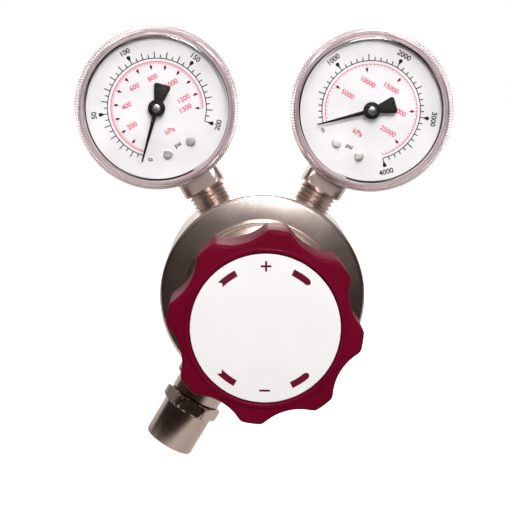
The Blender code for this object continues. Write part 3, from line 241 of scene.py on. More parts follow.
def gauge_matrix(angle):
    """The frame of a gauge: x right, y away from its stem, z towards the viewer."""
    hub = node_centre(f"{gauge_name(angle)}_window")
    turn = Matrix.Rotation(math.radians(angle - 90), 4, "Z")
    return FRONT @ Matrix.Translation((hub.x, hub.z, PORT_DEPTH)) @ turn


def gauge_name(angle):
    """The gauge that stands at an angle."""
    return next(name for name, place in GAUGES.items() if place == angle)


def port_matrix(angle):
    """The frame of a port: z outwards along its axis, x towards the rear face."""
    tilt = Matrix.Rotation(math.radians(angle), 4, "Z") @ Matrix.Rotation(math.radians(90), 4, "Y")
    return FRONT @ Matrix.Translation((0, 0, PORT_DEPTH)) @ tilt


def screw_place(angle, side):
    """The frame of a gauge's left (-1) or right (1) dial screw."""
    return gauge_matrix(angle) @ Matrix.Translation((side * 0.0042, -0.0146, 0))


def rounded(points, steps=4):
    """A profile with its corners eased, from (radius, height, easing) points."""
    result = []
    for i, (r, z, ease) in enumerate(points):
        if ease <= 0 or i in (0, len(points) - 1):
            result.append((r, z))
            continue
        here = Vector((r, z))
        before = Vector(points[i - 1][:2])
        after = Vector(points[i + 1][:2])
        reach = min(ease, 0.45 * (before - here).length, 0.45 * (after - here).length)
        start = here + (before - here).normalized() * reach
        end = here + (after - here).normalized() * reach
        for k in range(steps + 1):
            t = k / steps
            point = (1 - t) ** 2 * start + 2 * t * (1 - t) * here + t ** 2 * end
            result.append((point.x, point.y))
    return result


def turn_profile(profile, faces, closed=False):
    """Spin a profile of (radius, height) points round z into a bmesh."""
    bm = bmesh.new()
    verts = [bm.verts.new((r, 0, z)) for r, z in profile]
    edges = [bm.edges.new(pair) for pair in zip(verts, verts[1:])]
    if closed:
        edges.append(bm.edges.new((verts[-1], verts[0])))
    bmesh.ops.spin(bm, geom=verts + edges, cent=(0, 0, 0), axis=(0, 0, 1), dvec=(0, 0, 0),
                   angle=math.tau, steps=faces, use_merge=True)
    bmesh.ops.remove_doubles(bm, verts=bm.verts, dist=MERGE)
    return bm


def face_from(points, z=0.0):
    """A bmesh with one flat face."""
    bm = bmesh.new()
    bm.faces.new([bm.verts.new((x, y, z)) for x, y in points])
    return bm


def extrude_up(bm, height):
    """Raise the flat face of a bmesh into a prism."""
    made = bmesh.ops.extrude_face_region(bm, geom=bm.faces[:])
    verts = [item for item in made["geom"] if isinstance(item, bmesh.types.BMVert)]
    bmesh.ops.translate(bm, verts=verts, vec=(0, 0, height))
    return bm


def bevel_sharp(bm, offset):
    """Ease every edge sharper than 30 degrees."""
    sharp = math.radians(30)
    edges = [e for e in bm.edges if len(e.link_faces) == 2 and e.calc_face_angle() > sharp]
    bmesh.ops.bevel(bm, geom=edges, offset=offset, segments=2, affect="EDGES", profile=0.5,
                    material=-1, clamp_overlap=True)


def turn_about_z(bm, angle):
    """Turn a bmesh round z by an angle in degrees."""
    bmesh.ops.rotate(bm, verts=bm.verts, cent=(0, 0, 0),
                     matrix=Matrix.Rotation(math.radians(angle), 3, "Z"))


def mark_faces(bm, test):
    """Give the second material to faces whose distance from z passes a test."""
    for face in bm.faces:
        centre = face.calc_center_median()
        face.material_index = int(test(math.hypot(centre.x, centre.y)))


def join_bm(parts):
    """Join several bmeshes into the first."""
    base = parts[0]
    for part in parts[1:]:
        mesh = bpy.data.meshes.new("part")
        part.to_mesh(mesh)
        part.free()
        base.from_mesh(mesh)
        bpy.data.meshes.remove(mesh)
    return base


def smooth(mesh, sharp=35):
    """Shade a mesh smooth, apart from edges sharper than an angle in degrees."""
    mesh.shade_smooth()
    mesh.set_sharp_from_angle(angle=math.radians(sharp))


def new_piece(name, bm, matrix, material, sharp=35):
    """Put a bmesh at its place and make it a smooth, named object."""
    bmesh.ops.transform(bm, matrix=matrix, verts=bm.verts)
    bmesh.ops.recalc_face_normals(bm, faces=bm.faces)
    mesh = bpy.data.meshes.new(name)
    bm.to_mesh(mesh)
    bm.free()
    smooth(mesh, sharp)
    piece = bpy.data.objects.new(name, mesh)
    mesh.materials.append(material)
    bpy.context.scene.collection.objects.link(piece)
    return piece


def carve(piece, tools):
    """Cut guide solids out of a piece for good."""
    for tool in tools:
        modifier = piece.modifiers.new(tool.name, "BOOLEAN")
        modifier.operation = "DIFFERENCE"
        modifier.solver = "EXACT"
        modifier.object = tool
    graph = bpy.context.evaluated_depsgraph_get()
    mesh = bpy.data.meshes.new_from_object(piece.evaluated_get(graph))
    piece.modifiers.clear()
    piece.data = mesh
    smooth(mesh)
    for tool in tools:
        bpy.data.objects.remove(tool, do_unlink=True)


def attach(piece, body, slot, *nodes):
    """Put a piece on the body that it rides on and hide the nodes that it stands for; the slot,
    which names its finish, is not used.
    """
    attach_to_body(piece, body)
    if nodes:
        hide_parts(*nodes)


# Shader groups


def new_group(name, inputs, outputs):
    """A shader node group with named sockets."""
    group = bpy.data.node_groups.new(name, "ShaderNodeTree")
    for socket, kind, default in inputs:
        item = group.interface.new_socket(socket, in_out="INPUT", socket_type=kind)
        if default is not None:
            item.default_value = default
    for socket, kind in outputs:
        group.interface.new_socket(socket, in_out="OUTPUT", socket_type=kind)
    return group, group.nodes.new("NodeGroupInput"), group.nodes.new("NodeGroupOutput")


def math_node(tree, operation, first, second=None, clamp=False):
    """A Math node with linked or plain inputs."""
    node = tree.nodes.new("ShaderNodeMath")
    node.operation = operation
    node.use_clamp = clamp
    for socket, value in zip(node.inputs, (first, second)):
        if value is None:
            continue
        if isinstance(value, (int, float)):
            socket.default_value = value
        else:
            tree.links.new(value, socket)
    return node.outputs[0]


def noise_node(tree, vector, scale, detail=2.0, dimensions="3D"):
    """A Noise Texture node fed by a vector, or by a number in one dimension."""
    node = tree.nodes.new("ShaderNodeTexNoise")
    node.noise_dimensions = dimensions
    node.inputs["Detail"].default_value = detail
    if isinstance(scale, (int, float)):
        node.inputs["Scale"].default_value = scale
    else:
        tree.links.new(scale, node.inputs["Scale"])
    tree.links.new(vector, node.inputs["W" if dimensions == "1D" else "Vector"])
    return node.outputs["Fac"]


def make_turned_grain():
    """Tool marks that run round the local z axis, with slow stains and small pits."""
    group, given, result = new_group("turned_grain", [
        ("Vector", "NodeSocketVector", None),
        ("Grooves", "NodeSocketFloat", 9000.0),
        ("Stains", "NodeSocketFloat", 120.0),
    ], [(name, "NodeSocketFloat") for name in ("Groove", "Stain", "Pit", "Radius")])
    links = group.links
    vector = given.outputs["Vector"]
    split = group.nodes.new("ShaderNodeSeparateXYZ")
    links.new(vector, split.inputs[0])
    square = math_node(group, "ADD", math_node(group, "POWER", split.outputs[0], 2.0),
                       math_node(group, "POWER", split.outputs[1], 2.0))
    radius = math_node(group, "SQRT", square)
    across = math_node(group, "ADD", radius, split.outputs[2])
    groove = noise_node(group, across, given.outputs["Grooves"], 3.0, "1D")
    links.new(radius, result.inputs["Radius"])
    links.new(groove, result.inputs["Groove"])
    links.new(noise_node(group, vector, given.outputs["Stains"], 3.0), result.inputs["Stain"])
    links.new(noise_node(group, vector, 2600.0, 1.0), result.inputs["Pit"])


def make_surface_grain():
    """Fine even grain with slow variation, for cast, drawn and moulded surfaces."""
    group, given, result = new_group("surface_grain", [
        ("Vector", "NodeSocketVector", None),
        ("Fine", "NodeSocketFloat", 1500.0),
        ("Slow", "NodeSocketFloat", 90.0),
    ], [("Fine", "NodeSocketFloat"), ("Slow", "NodeSocketFloat")])
    vector = given.outputs["Vector"]
    for name, detail in (("Fine", 2.0), ("Slow", 3.0)):
        noise = noise_node(group, vector, given.outputs[name], detail)
        group.links.new(noise, result.inputs[name])


def use_group(tree, name, vector, **values):
    """The outputs of a shader group that is fed a vector and its own values."""
    node = tree.nodes.new("ShaderNodeGroup")
    node.node_tree = bpy.data.node_groups[name]
    tree.links.new(vector, node.inputs["Vector"])
    for socket, value in values.items():
        node.inputs[socket].default_value = value
    return node.outputs


def surface(name):
    """A shared finish by its name."""
    return bpy.data.materials[f"{name}_surface"]


def material_base(name, color, metallic, roughness):
    """A material with its Principled shader and Object coordinates."""
    material = bpy.data.materials.new(name)
    material.use_nodes = True
    tree = material.node_tree
    shader = tree.nodes["Principled BSDF"]
    shader.inputs["Base Color"].default_value = (*color, 1.0)
    shader.inputs["Metallic"].default_value = metallic
    shader.inputs["Roughness"].default_value = roughness
    material.diffuse_color = (*color, 1.0)
    place = tree.nodes.new("ShaderNodeTexCoord").outputs["Object"]
    return material, tree, shader, place


def map_range(tree, value, low, high):
    """Stretch a 0.3 to 0.7 mask to a range."""
    node = tree.nodes.new("ShaderNodeMapRange")
    node.inputs["From Min"].default_value = 0.3
    node.inputs["From Max"].default_value = 0.7
    node.inputs["To Min"].default_value = low
    node.inputs["To Max"].default_value = high
    tree.links.new(value, node.inputs["Value"])
    return node.outputs["Result"]


def tint(tree, shader, value, color, low, high):
    """Vary the base colour between two strengths of one colour."""
    mix = tree.nodes.new("ShaderNodeMix")
    mix.data_type = "RGBA"
    mix.inputs["A"].default_value = (*[c * low for c in color], 1.0)
    mix.inputs["B"].default_value = (*[min(c * high, 1.0) for c in color], 1.0)
    tree.links.new(map_range(tree, value, 0.0, 1.0), mix.inputs["Factor"])
    tree.links.new(mix.outputs["Result"], shader.inputs["Base Color"])


def add_bump(tree, shader, height, strength, distance):
    """Feed a height to the shader's normal."""
    bump = tree.nodes.new("ShaderNodeBump")
    bump.inputs["Strength"].default_value = strength
    bump.inputs["Distance"].default_value = distance
    tree.links.new(height, bump.inputs["Height"])
    tree.links.new(bump.outputs["Normal"], shader.inputs["Normal"])


def set_plain(material, **values):
    """Set plain inputs of a material's shader, with _ for each space in a name."""
    shader = material.node_tree.nodes["Principled BSDF"]
    for name, value in values.items():
        shader.inputs[name.replace("_", " ")].default_value = value


def turned_metal(name, color, matrix, roughness=0.2, depth=0.000012, crown=0.0):
    """Metal with tool marks round the z axis of a frame, whose faces may be slightly crowned."""
    material, tree, shader, place = material_base(name, color, 1.0, roughness)
    mapping = tree.nodes.new("ShaderNodeMapping")
    mapping.vector_type = "TEXTURE"
    mapping.inputs["Location"].default_value = matrix.to_translation()
    mapping.inputs["Rotation"].default_value = matrix.to_euler()
    tree.links.new(place, mapping.inputs["Vector"])
    grain = use_group(tree, "turned_grain", mapping.outputs["Vector"], Grooves=9000.0)
    tint(tree, shader, grain["Stain"], color, 0.96, 1.03)
    stained = map_range(tree, grain["Stain"], roughness * 0.94, roughness * 1.04)
    pitted = map_range(tree, grain["Pit"], 0.0, 0.015)
    tree.links.new(math_node(tree, "ADD", stained, pitted), shader.inputs["Roughness"])
    height = math_node(tree, "SUBTRACT", math_node(tree, "MULTIPLY", grain["Groove"], depth),
                       math_node(tree, "MULTIPLY", grain["Radius"], crown))
    add_bump(tree, shader, height, 1.0, 1.0)
    return material


def grained(name, color, metallic, roughness, fine=1500.0, depth=0.00001, spread=(0.92, 1.06)):
    """A finish with fine even grain."""
    material, tree, shader, place = material_base(name, color, metallic, roughness)
    grain = use_group(tree, "surface_grain", place, Fine=fine, Slow=90.0)
    tint(tree, shader, grain["Slow"], color, *spread)
    tree.links.new(map_range(tree, grain["Slow"], roughness * 0.85, roughness * 1.2),
                   shader.inputs["Roughness"])
    add_bump(tree, shader, grain["Fine"], 0.6, depth)
    return material


def clear_plastic(name, color, rough=0.03):
    """Clear moulded plastic that lets light through to the dial."""
    material, tree, shader, place = material_base(name, color, 0.0, rough)
    set_plain(material, Transmission_Weight=1.0, IOR=1.46)
    grain = use_group(tree, "surface_grain", place, Fine=300.0)
    tree.links.new(map_range(tree, grain["Slow"], rough * 0.4, rough * 1.6),
                   shader.inputs["Roughness"])
    add_bump(tree, shader, grain["Fine"], 0.2, 0.000004)
    light = tree.nodes.new("ShaderNodeLightPath").outputs["Is Shadow Ray"]
    passed = math_node(tree, "MULTIPLY", light, 0.92)
    tree.links.new(math_node(tree, "SUBTRACT", 1.0, passed), shader.inputs["Alpha"])
    return material


# Shapes that are made ring by ring


def sampled(radius_at, count):
    """A ring outline from a function of the angle in degrees."""
    return [polar(radius_at(360 * i / count), 360 * i / count) for i in range(count)]


def round_at(radius):
    """The outline of a circle."""
    return lambda angle: radius


def circles(points):
    """Rings of circles from (radius, height) points."""
    return [(round_at(radius), height) for radius, height in points]


def sided_at(flat_radius, sides, limit):
    """The outline of a regular polygon with its corners turned down to a radius."""
    step = 360 / sides

    def radius_at(angle):
        off = (angle + step / 2) % step - step / 2
        return min(flat_radius / math.cos(math.radians(off)), limit)
    return radius_at


def ring_solid(rings, count, closed=False):
    """A solid through rings of (outline function, height)."""
    bm = bmesh.new()
    loops = []
    for radius_at, height in rings:
        loops.append([bm.verts.new((x, y, height)) for x, y in sampled(radius_at, count)])
    pairs = list(zip(loops, loops[1:]))
    if closed:
        pairs.append((loops[-1], loops[0]))
    for low, high in pairs:
        for i in range(count):
            j = (i + 1) % count
            bm.faces.new((low[i], low[j], high[j], high[i]))
    if not closed:
        bm.faces.new(loops[0])
        bm.faces.new(loops[-1])
    return bm


def thread_profile(start, end, radius, pitch, height):
    """Radius and height points of thread ridges from start to end."""
    points = []
    turns = max(1, int((end - start) / pitch))
    step = (end - start) / turns
    for k in range(turns):
        base = start + k * step
        points += [(radius - height, base + 0.06 * step), (radius, base + 0.44 * step),
                   (radius, base + 0.56 * step), (radius - height, base + 0.94 * step)]
    return points


def hex_piece(flat_radius, low, high, cut):
    """Rings of a hexagon whose corners are chamfered at both ends."""
    tip = flat_radius * 1.14
    half_way = flat_radius + (tip - flat_radius) * 0.55
    limits = ((low, flat_radius), (low + cut * 0.5, half_way), (low + cut, tip),
              (high - cut, tip), (high - cut * 0.5, half_way), (high, flat_radius))
    return [(sided_at(flat_radius, 6, limit), height) for height, limit in limits]


def cutter(name, radius, low, high, faces, place, material):
    """A round guide solid that carve() cuts with."""
    profile = [(0.0, low), (radius, low), (radius, high), (0.0, high)]
    return new_piece(name, turn_profile(profile, faces), place, material)


# The pieces


def make_body(size, finish):
    """Turned body with its spigot, chamber, ports and mounting holes."""
    shoulder = BONNET_BACK - SEAT_GAP
    spigot = BODY_RADIUS - SPIGOT_STEP
    chamber = spigot - 0.007
    chamber_floor = SPIGOT_TOP - 0.004
    well = 0.008
    well_floor = 0.008
    profile = rounded([
        (0.0, 0.0, 0.0),
        (BODY_RADIUS, 0.0, 0.001),
        (BODY_RADIUS, shoulder, size.edge),
        (spigot, shoulder, 0.0),
        (spigot, SPIGOT_TOP, size.edge),
        (chamber, SPIGOT_TOP, size.edge),
        (chamber, chamber_floor, 0.0),
        (well, chamber_floor, 0.0),
        (well, well_floor, 0.0),
        (0.0, well_floor, 0.0),
    ])
    material = turned_metal("nickel_plate_body", finish.plate_color, FRONT, roughness=0.24,
                            depth=0.000002)
    body = new_piece("regulator_body_finish", turn_profile(profile, size.round_faces), FRONT,
                     material)

    passage = 0.002
    counterbore = 0.0092
    bottom = BODY_RADIUS - 0.012
    face = math.sqrt(BODY_RADIUS ** 2 - counterbore ** 2)
    outside = BODY_RADIUS + 0.002
    tools = []
    for angle in (0, 180):
        bore = [(0.0, well_floor), (passage, well_floor), (passage, bottom),
                (PORT_RADIUS - size.thread_height, bottom)]
        bore += thread_profile(bottom + 0.001, face - 0.0008, PORT_RADIUS, size.thread_pitch,
                               size.thread_height)
        bore += [(PORT_RADIUS + 0.0006, face), (counterbore, face), (counterbore, outside),
                 (0.0, outside)]
        tools.append(new_piece(f"port_tool_{angle}", turn_profile(bore, 64), port_matrix(angle),
                               material))
    for angle in (*GAUGES.values(), RELIEF_ANGLE):
        tools.append(cutter(f"port_tool_{angle}", PORT_RADIUS, 0.012, outside, 48,
                            port_matrix(angle), material))
    mount = 0.0026
    mount_offset = 0.016
    for side in (-1, 1):
        hole = [(0.0, -0.001), (mount, -0.001), (mount, 0.009), (0.0, 0.0105)]
        place = FRONT @ Matrix.Translation((side * mount_offset, -mount_offset, 0))
        tools.append(new_piece(f"mount_tool_{side}", turn_profile(hole, 32), place, material))
    carve(body, tools)
    attach(body, "regulator", "nickel_plate", "body")


def make_bonnet(size, finish):
    """Bonnet with its collar, neck, taper and nose."""
    inner = BODY_RADIUS - SPIGOT_STEP + SEAT_GAP
    face = BONNET_TOP - 0.032
    collar_top = face + 0.0009
    neck = 0.0234
    nose = 0.0202
    hole = 0.009
    roof = BONNET_TOP - 0.005
    bore = 0.0179
    bore_floor = face - 0.0038
    profile = rounded([
        (inner, BONNET_BACK, 0.0),
        (BODY_RADIUS, BONNET_BACK, size.edge),
        (BODY_RADIUS, face, size.rim),
        (0.0252, face, 0.0),
        (0.0247, collar_top, 0.0003),
        (0.024, collar_top, 0.0),
        (neck, face + 0.0015, 0.0),
        (neck, face + 0.019, 0.0003),
        (nose, face + 0.023, 0.0003),
        (nose, BONNET_TOP, 0.0006),
        (hole, BONNET_TOP, 0.0002),
        (hole, roof, 0.0),
        (bore, roof, 0.0),
        (bore, bore_floor, 0.0),
        (inner, bore_floor, 0.0),
    ])
    profile.append(profile[0])
    material = turned_metal("nickel_plate_bonnet", finish.plate_color, FRONT, roughness=0.22,
                            depth=0.0000007, crown=0.1)
    bonnet = new_piece("bonnet_finish", turn_profile(profile, size.round_faces), FRONT, material)
    vent_height = face + 0.0115
    down = Matrix.Translation((0, 0, vent_height)) @ Matrix.Rotation(math.radians(90), 4, "X")
    carve(bonnet, [cutter("vent_tool", 0.0016, 0.012, 0.03, 32, FRONT @ down, material)])
    attach(bonnet, "regulator", "nickel_plate", "bonnet")


def knob_outline(tip, valley, lobes=8, phase=82.5, half_tip=6.5, ease=1.7):
    """The knob's lobed outline as a function of the angle, its tips softened."""
    pitch = 360 / lobes
    along, across = polar(tip, pitch / 2 - half_tip)
    sag = along - valley
    arc = (across ** 2 + sag ** 2) / (2 * sag)
    centre = valley + arc

    def raw(angle):
        off = (angle - phase) % pitch - pitch / 2
        if abs(off) > pitch / 2 - half_tip:
            return tip
        reach = math.radians(off)
        under = max(arc ** 2 - (centre * math.sin(reach)) ** 2, 0.0)
        return centre * math.cos(reach) - math.sqrt(under)

    weights = [math.exp(-(k / 3) ** 2) for k in range(-6, 7)]
    table = []
    for i in range(720):
        total = sum(w * raw(i / 2 + k * ease / 3) for k, w in zip(range(-6, 7), weights))
        table.append(total / sum(weights))
    return lambda angle: table[int(round(angle * 2)) % 720]


def make_knob(size, finish):
    """Lobed knob with rounded edges and the pocket for its label."""
    outline = knob_outline(tip=0.0282, valley=0.0250)

    def lobes_in(inset):
        return lambda angle: outline(angle) - inset

    def blended(inset, radius, share):
        return lambda angle: (outline(angle) - inset) * (1 - share) + radius * share

    front = KNOB_TOP - 0.0006
    edge = size.knob_edge
    rings = [(lobes_in(0.0006), KNOB_BACK), (lobes_in(0.00018), KNOB_BACK + 0.00018),
             (lobes_in(0.0), KNOB_BACK + 0.0006)]
    for k in range(7):
        turn = math.radians(15 * k)
        inset = edge * (1 - math.cos(turn))
        rings.append((lobes_in(inset), front - edge + edge * math.sin(turn)))

    bead = 0.0232
    bead_foot = front + 0.0001
    pocket = LABEL_RADIUS + SEAT_GAP
    middle = (bead + pocket) / 2
    half = (bead - pocket) / 2
    rings += [(blended(edge, bead, 0.6), front + 0.00002), (round_at(bead), bead_foot)]
    for k in range(1, 6):
        turn = math.radians(30 * k)
        rings.append((round_at(middle + half * math.cos(turn)),
                      bead_foot + 0.0005 * math.sin(turn)))

    floor = LABEL_BACK - SEAT_GAP
    screw_well = 0.0065
    screw_seat = floor - 0.0015
    screw_hole = 0.0048
    socket = 0.006
    socket_top = 0.0823
    boss = 0.009
    boss_end = KNOB_BACK + 0.0095
    hollow = 0.0213
    hollow_top = KNOB_BACK + 0.0165
    rings += circles([
        (pocket, front), (pocket, floor), (screw_well, floor), (screw_well, screw_seat),
        (screw_hole, screw_seat), (screw_hole, socket_top), (socket, socket_top),
        (socket, boss_end), (boss, boss_end), (boss, hollow_top), (hollow, hollow_top),
        (hollow, KNOB_BACK),
    ])
    material = grained("knob_plastic", finish.knob_color, 0.0, 0.5, fine=1800.0, depth=0.000006)
    set_plain(material, Specular_IOR_Level=0.2, IOR=1.15, Coat_Weight=0.02)
    knob = new_piece("knob_finish", ring_solid(rings, 360, closed=True), FRONT, material)
    attach(knob, "knob_assembly", "knob_plastic", "knob")


def arc_band(radius, half_width, start, end, steps=24):
    """Outline of a band that runs round an arc."""
    points = []
    for k in range(steps + 1):
        points.append(polar(radius + half_width, start + (end - start) * k / steps))
    for k in range(steps + 1):
        points.append(polar(radius - half_width, end + (start - end) * k / steps))
    return points


def flat_mark(points, height):
    """A thin printed mark with an outline."""
    return extrude_up(face_from(points), height)


def make_label(size, finish):
    """White disc in the knob with turning arrows, a plus and a minus."""
    white = grained("white_label", finish.white_color, 0.0, 0.35, fine=900.0, depth=0.000003,
                    spread=(0.97, 1.0))
    profile = rounded([(0.0, LABEL_BACK, 0.0), (LABEL_RADIUS, LABEL_BACK, 0.0),
                       (LABEL_RADIUS, LABEL_TOP, 0.0002), (0.0, LABEL_TOP, 0.0)])
    disc = new_piece("knob_label_finish", turn_profile(profile, 128), FRONT, white)
    attach(disc, "knob_assembly", "white_label", "knob_label")

    radius = 0.0179
    half = 0.00095
    end_corner = 25
    outlines = []
    for side in (1, -1):
        tail = arc_band(radius, half, side * 118, side * 136)
        tail.insert(end_corner, polar(radius, side * 133.5))
        head = arc_band(radius, half, side * 65, side * 49)
        for k in (2, 1, 0, -1, -2):
            bulge = 3.2 * (1 - (k / 3) ** 2)
            head.insert(end_corner + (2 - k), polar(radius + half * k / 2.6, side * (49 - bulge)))
        outlines += [tail if side < 0 else tail[::-1], head if side < 0 else head[::-1]]
    bar = 0.0015
    thin = 0.0003
    level = [(-bar, -thin), (bar, -thin), (bar, thin), (-bar, thin)]
    plus = [(-bar, -thin), (-thin, -thin), (-thin, -bar), (thin, -bar), (thin, -thin), (bar, -thin),
            (bar, thin), (thin, thin), (thin, bar), (-thin, bar), (-thin, thin), (-bar, thin)]
    outlines.append([(x, y - radius) for x, y in level])
    outlines.append([(x, y + radius) for x, y in plus])
    burgundy = grained("label_ink", finish.knob_color, 0.0, 0.3)
    marks = new_piece("knob_label_print",
                      join_bm([flat_mark(outline, size.print_height) for outline in outlines]),
                      FRONT @ Matrix.Translation((0, 0, LABEL_TOP)), burgundy)
    attach(marks, "knob_assembly", "knob_plastic")


def port_reach(node):
    """Nearest and furthest distance of a relief valve node from the body's axis."""
    axis = Vector((*polar(1.0, RELIEF_ANGLE), 0.0))
    places = [Vector((v.co.x, v.co.z, 0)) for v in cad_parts[node].data.vertices]
    along = [place.dot(axis) for place in places]
    return min(along), max(along)


def make_relief_valve(size, finish):
    """Relief valve's threaded body and its open cap."""
    matrix = port_matrix(RELIEF_ANGLE)
    # Painted shade: the relief valve's plating is a darker copy of the body's nickel plating
    material = turned_metal("nickel_plate_relief", finish.relief_color, matrix, roughness=0.22)
    flat = 0.0088
    tube = 0.0086
    passage = 0.0021
    spring_bore = 0.0064
    lower = BODY_RADIUS + SEAT_GAP
    stub, seat = port_reach("relief_body")
    collar = lower + 0.0057
    collar_end = seat - 0.005
    rings = circles([(passage, stub), (THREAD_ROOT, stub)])
    rings += circles(thread_profile(stub + 0.0004, lower + 0.0004, THREAD_RADIUS,
                                    size.thread_pitch, size.thread_height))
    rings += circles([(THREAD_ROOT, lower + 0.0006)])
    rings += hex_piece(flat, lower + 0.0006, collar, 0.0006)
    rings += circles([
        (tube - 0.0002, collar + 0.00002), (tube, collar + 0.0002), (tube, collar_end - 0.0003),
        (tube - 0.0003, collar_end), (spring_bore, collar_end), (spring_bore, seat),
        (passage, seat),
    ])
    body = new_piece("relief_body_finish", ring_solid(rings, 144, closed=True), matrix, material)
    attach(body, "regulator", "nickel_plate", "relief_body")

    start, end = port_reach("relief_cap")
    bore = 0.0067
    hex_end = start + 0.0046
    rings = circles([(bore, start)])
    rings += hex_piece(flat, start, hex_end, 0.0006)
    rings += circles([
        (tube, hex_end + 0.00005), (tube, end - 0.0006), (tube - 0.0002, end - 0.0002),
        (tube - 0.0006, end), (bore + 0.0006, end), (bore, end - 0.0006),
    ])
    cap = new_piece("relief_cap_finish", ring_solid(rings, 144, closed=True), matrix, material)
    attach(cap, "regulator", "nickel_plate", "relief_cap")


def make_springs():
    """Smooth copies of the springs, which sit between the part that holds them and the part that
    they push.
    """
    springs = [(name, body, (0, node_high(name).y, 0), (0, node_low(name).y, 0))
               for name, body in (("range_spring", "thrust"), ("poppet_spring", "poppet"))]
    relief = port_matrix(RELIEF_ANGLE)
    near, far = port_reach("relief_spring")
    springs.append(("relief_spring", "relief_poppet", relief @ Vector((0, 0, far)),
                    relief @ Vector((0, 0, near))))
    for name, body, fixed, moving in springs:
        bm = bmesh.new()
        bm.from_mesh(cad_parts[name].data)
        bmesh.ops.remove_doubles(bm, verts=bm.verts, dist=1e-6)
        spring = new_piece(f"{name}_finish", bm, Matrix.Identity(4), surface("spring_steel"),
                           sharp=80)
        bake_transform(spring)
        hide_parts(name)


def make_stem(size, finish, name, angle):
    """A gauge's stem: pipe thread, square wrench flats, neck and the block in the case."""
    matrix = port_matrix(angle)
    material = turned_metal(f"nickel_plate_{name}", finish.plate_color, matrix, roughness=0.34)
    hub = node_centre(f"{name}_window")
    reach = math.hypot(hub.x, hub.z)
    start = BODY_RADIUS - 0.009
    flats_end = BODY_RADIUS + 0.0112
    flats = flats_end - 0.58 * 0.0112
    neck = 0.0055
    block_side = 0.0065
    block_start = reach - math.sqrt((node_radius(f"{name}_case") - 0.0019) ** 2 - block_side ** 2)
    rings = circles([(0.0056, start)])
    rings += circles(thread_profile(start + 0.0003, flats - 0.0004, THREAD_RADIUS,
                                    size.thread_pitch, size.thread_height))
    rings += circles([(THREAD_ROOT, flats - 0.0002)])
    for height, limit in ((flats, 0.0069), (flats + 0.0006, 0.0083), (flats + 0.0012, 0.0092),
                          (flats_end - 0.0012, 0.0092), (flats_end - 0.0006, 0.0083),
                          (flats_end, 0.0069)):
        rings.append((sided_at(0.007, 4, limit), height))
    rings += circles([(neck, flats_end + 0.00002), (neck, block_start)])

    def block_at(theta):
        c, s = polar(1.0, theta)
        depth = 0.0100 if c < 0 else 0.006
        return min(abs(block_side / s) if abs(s) > 1e-6 else 1.0,
                   abs(depth / c) if abs(c) > 1e-6 else 1.0)

    rings += [(block_at, block_start + 0.00002), (block_at, reach - 0.0122)]
    stem = new_piece(f"{name}_socket_finish", ring_solid(rings, 144), matrix, material)
    carve(stem, [cutter(f"{name}_hole_tool_{side}", SCREW_HOLE, 0.0066, 0.0108, 24,
                        screw_place(angle, side), material) for side in (-1, 1)])
    attach(stem, "regulator", "nickel_plate", f"{name}_socket")


def make_case(size, finish, name, angle):
    """A gauge's deep-drawn case with the hole for its stem."""
    matrix = gauge_matrix(angle)
    back, front = gauge_depths(f"{name}_case")
    radius = node_radius(f"{name}_case")
    wall = 0.0008
    profile = rounded([
        (0.0, back, 0.0), (radius, back, 0.0018), (radius, front, 0.0002),
        (radius - wall, front, 0.0002), (radius - wall, back + wall, 0.001),
        (0.0, back + wall, 0.0),
    ], 6)
    material = turned_metal(f"stainless_{name}", finish.steel_color, matrix, roughness=0.24,
                            depth=0.000006)
    case = new_piece(f"{name}_case_finish", turn_profile(profile, size.round_faces), matrix,
                     material)
    hub = node_centre(f"{name}_window")
    side = math.hypot(hub.x, hub.z) - radius
    carve(case, [cutter(f"{name}_stem_tool", 0.0058, side - 0.002, side + 0.003, 48,
                        port_matrix(angle), material)])
    attach(case, "regulator", "stainless", f"{name}_case")


def make_gasket(size, finish, name, angle):
    """A gauge's flat window gasket whose black inner lip is a painted shadow line at the window's
    inner edge.
    """
    low, high = gauge_depths(f"{name}_window_gasket")
    rim = node_radius(f"{name}_window_gasket")
    bore = rim - 0.0016
    lip = bore + 0.00035
    ring = turn_profile([(bore, low), (lip, low), (rim, low), (rim, high), (lip, high),
                         (bore, high)], size.round_faces, closed=True)
    # Painted shadow: the inner lip takes black rubber to draw a dark line at the window's inner
    # edge
    mark_faces(ring, lambda radius: radius < lip - 0.0001)
    gasket = new_piece(f"{name}_window_gasket_finish", ring, gauge_matrix(angle),
                       surface("gasket_rubber"))
    gasket.data.materials.append(surface("black_rubber"))
    attach(gasket, "regulator", "black_rubber", f"{name}_window_gasket")


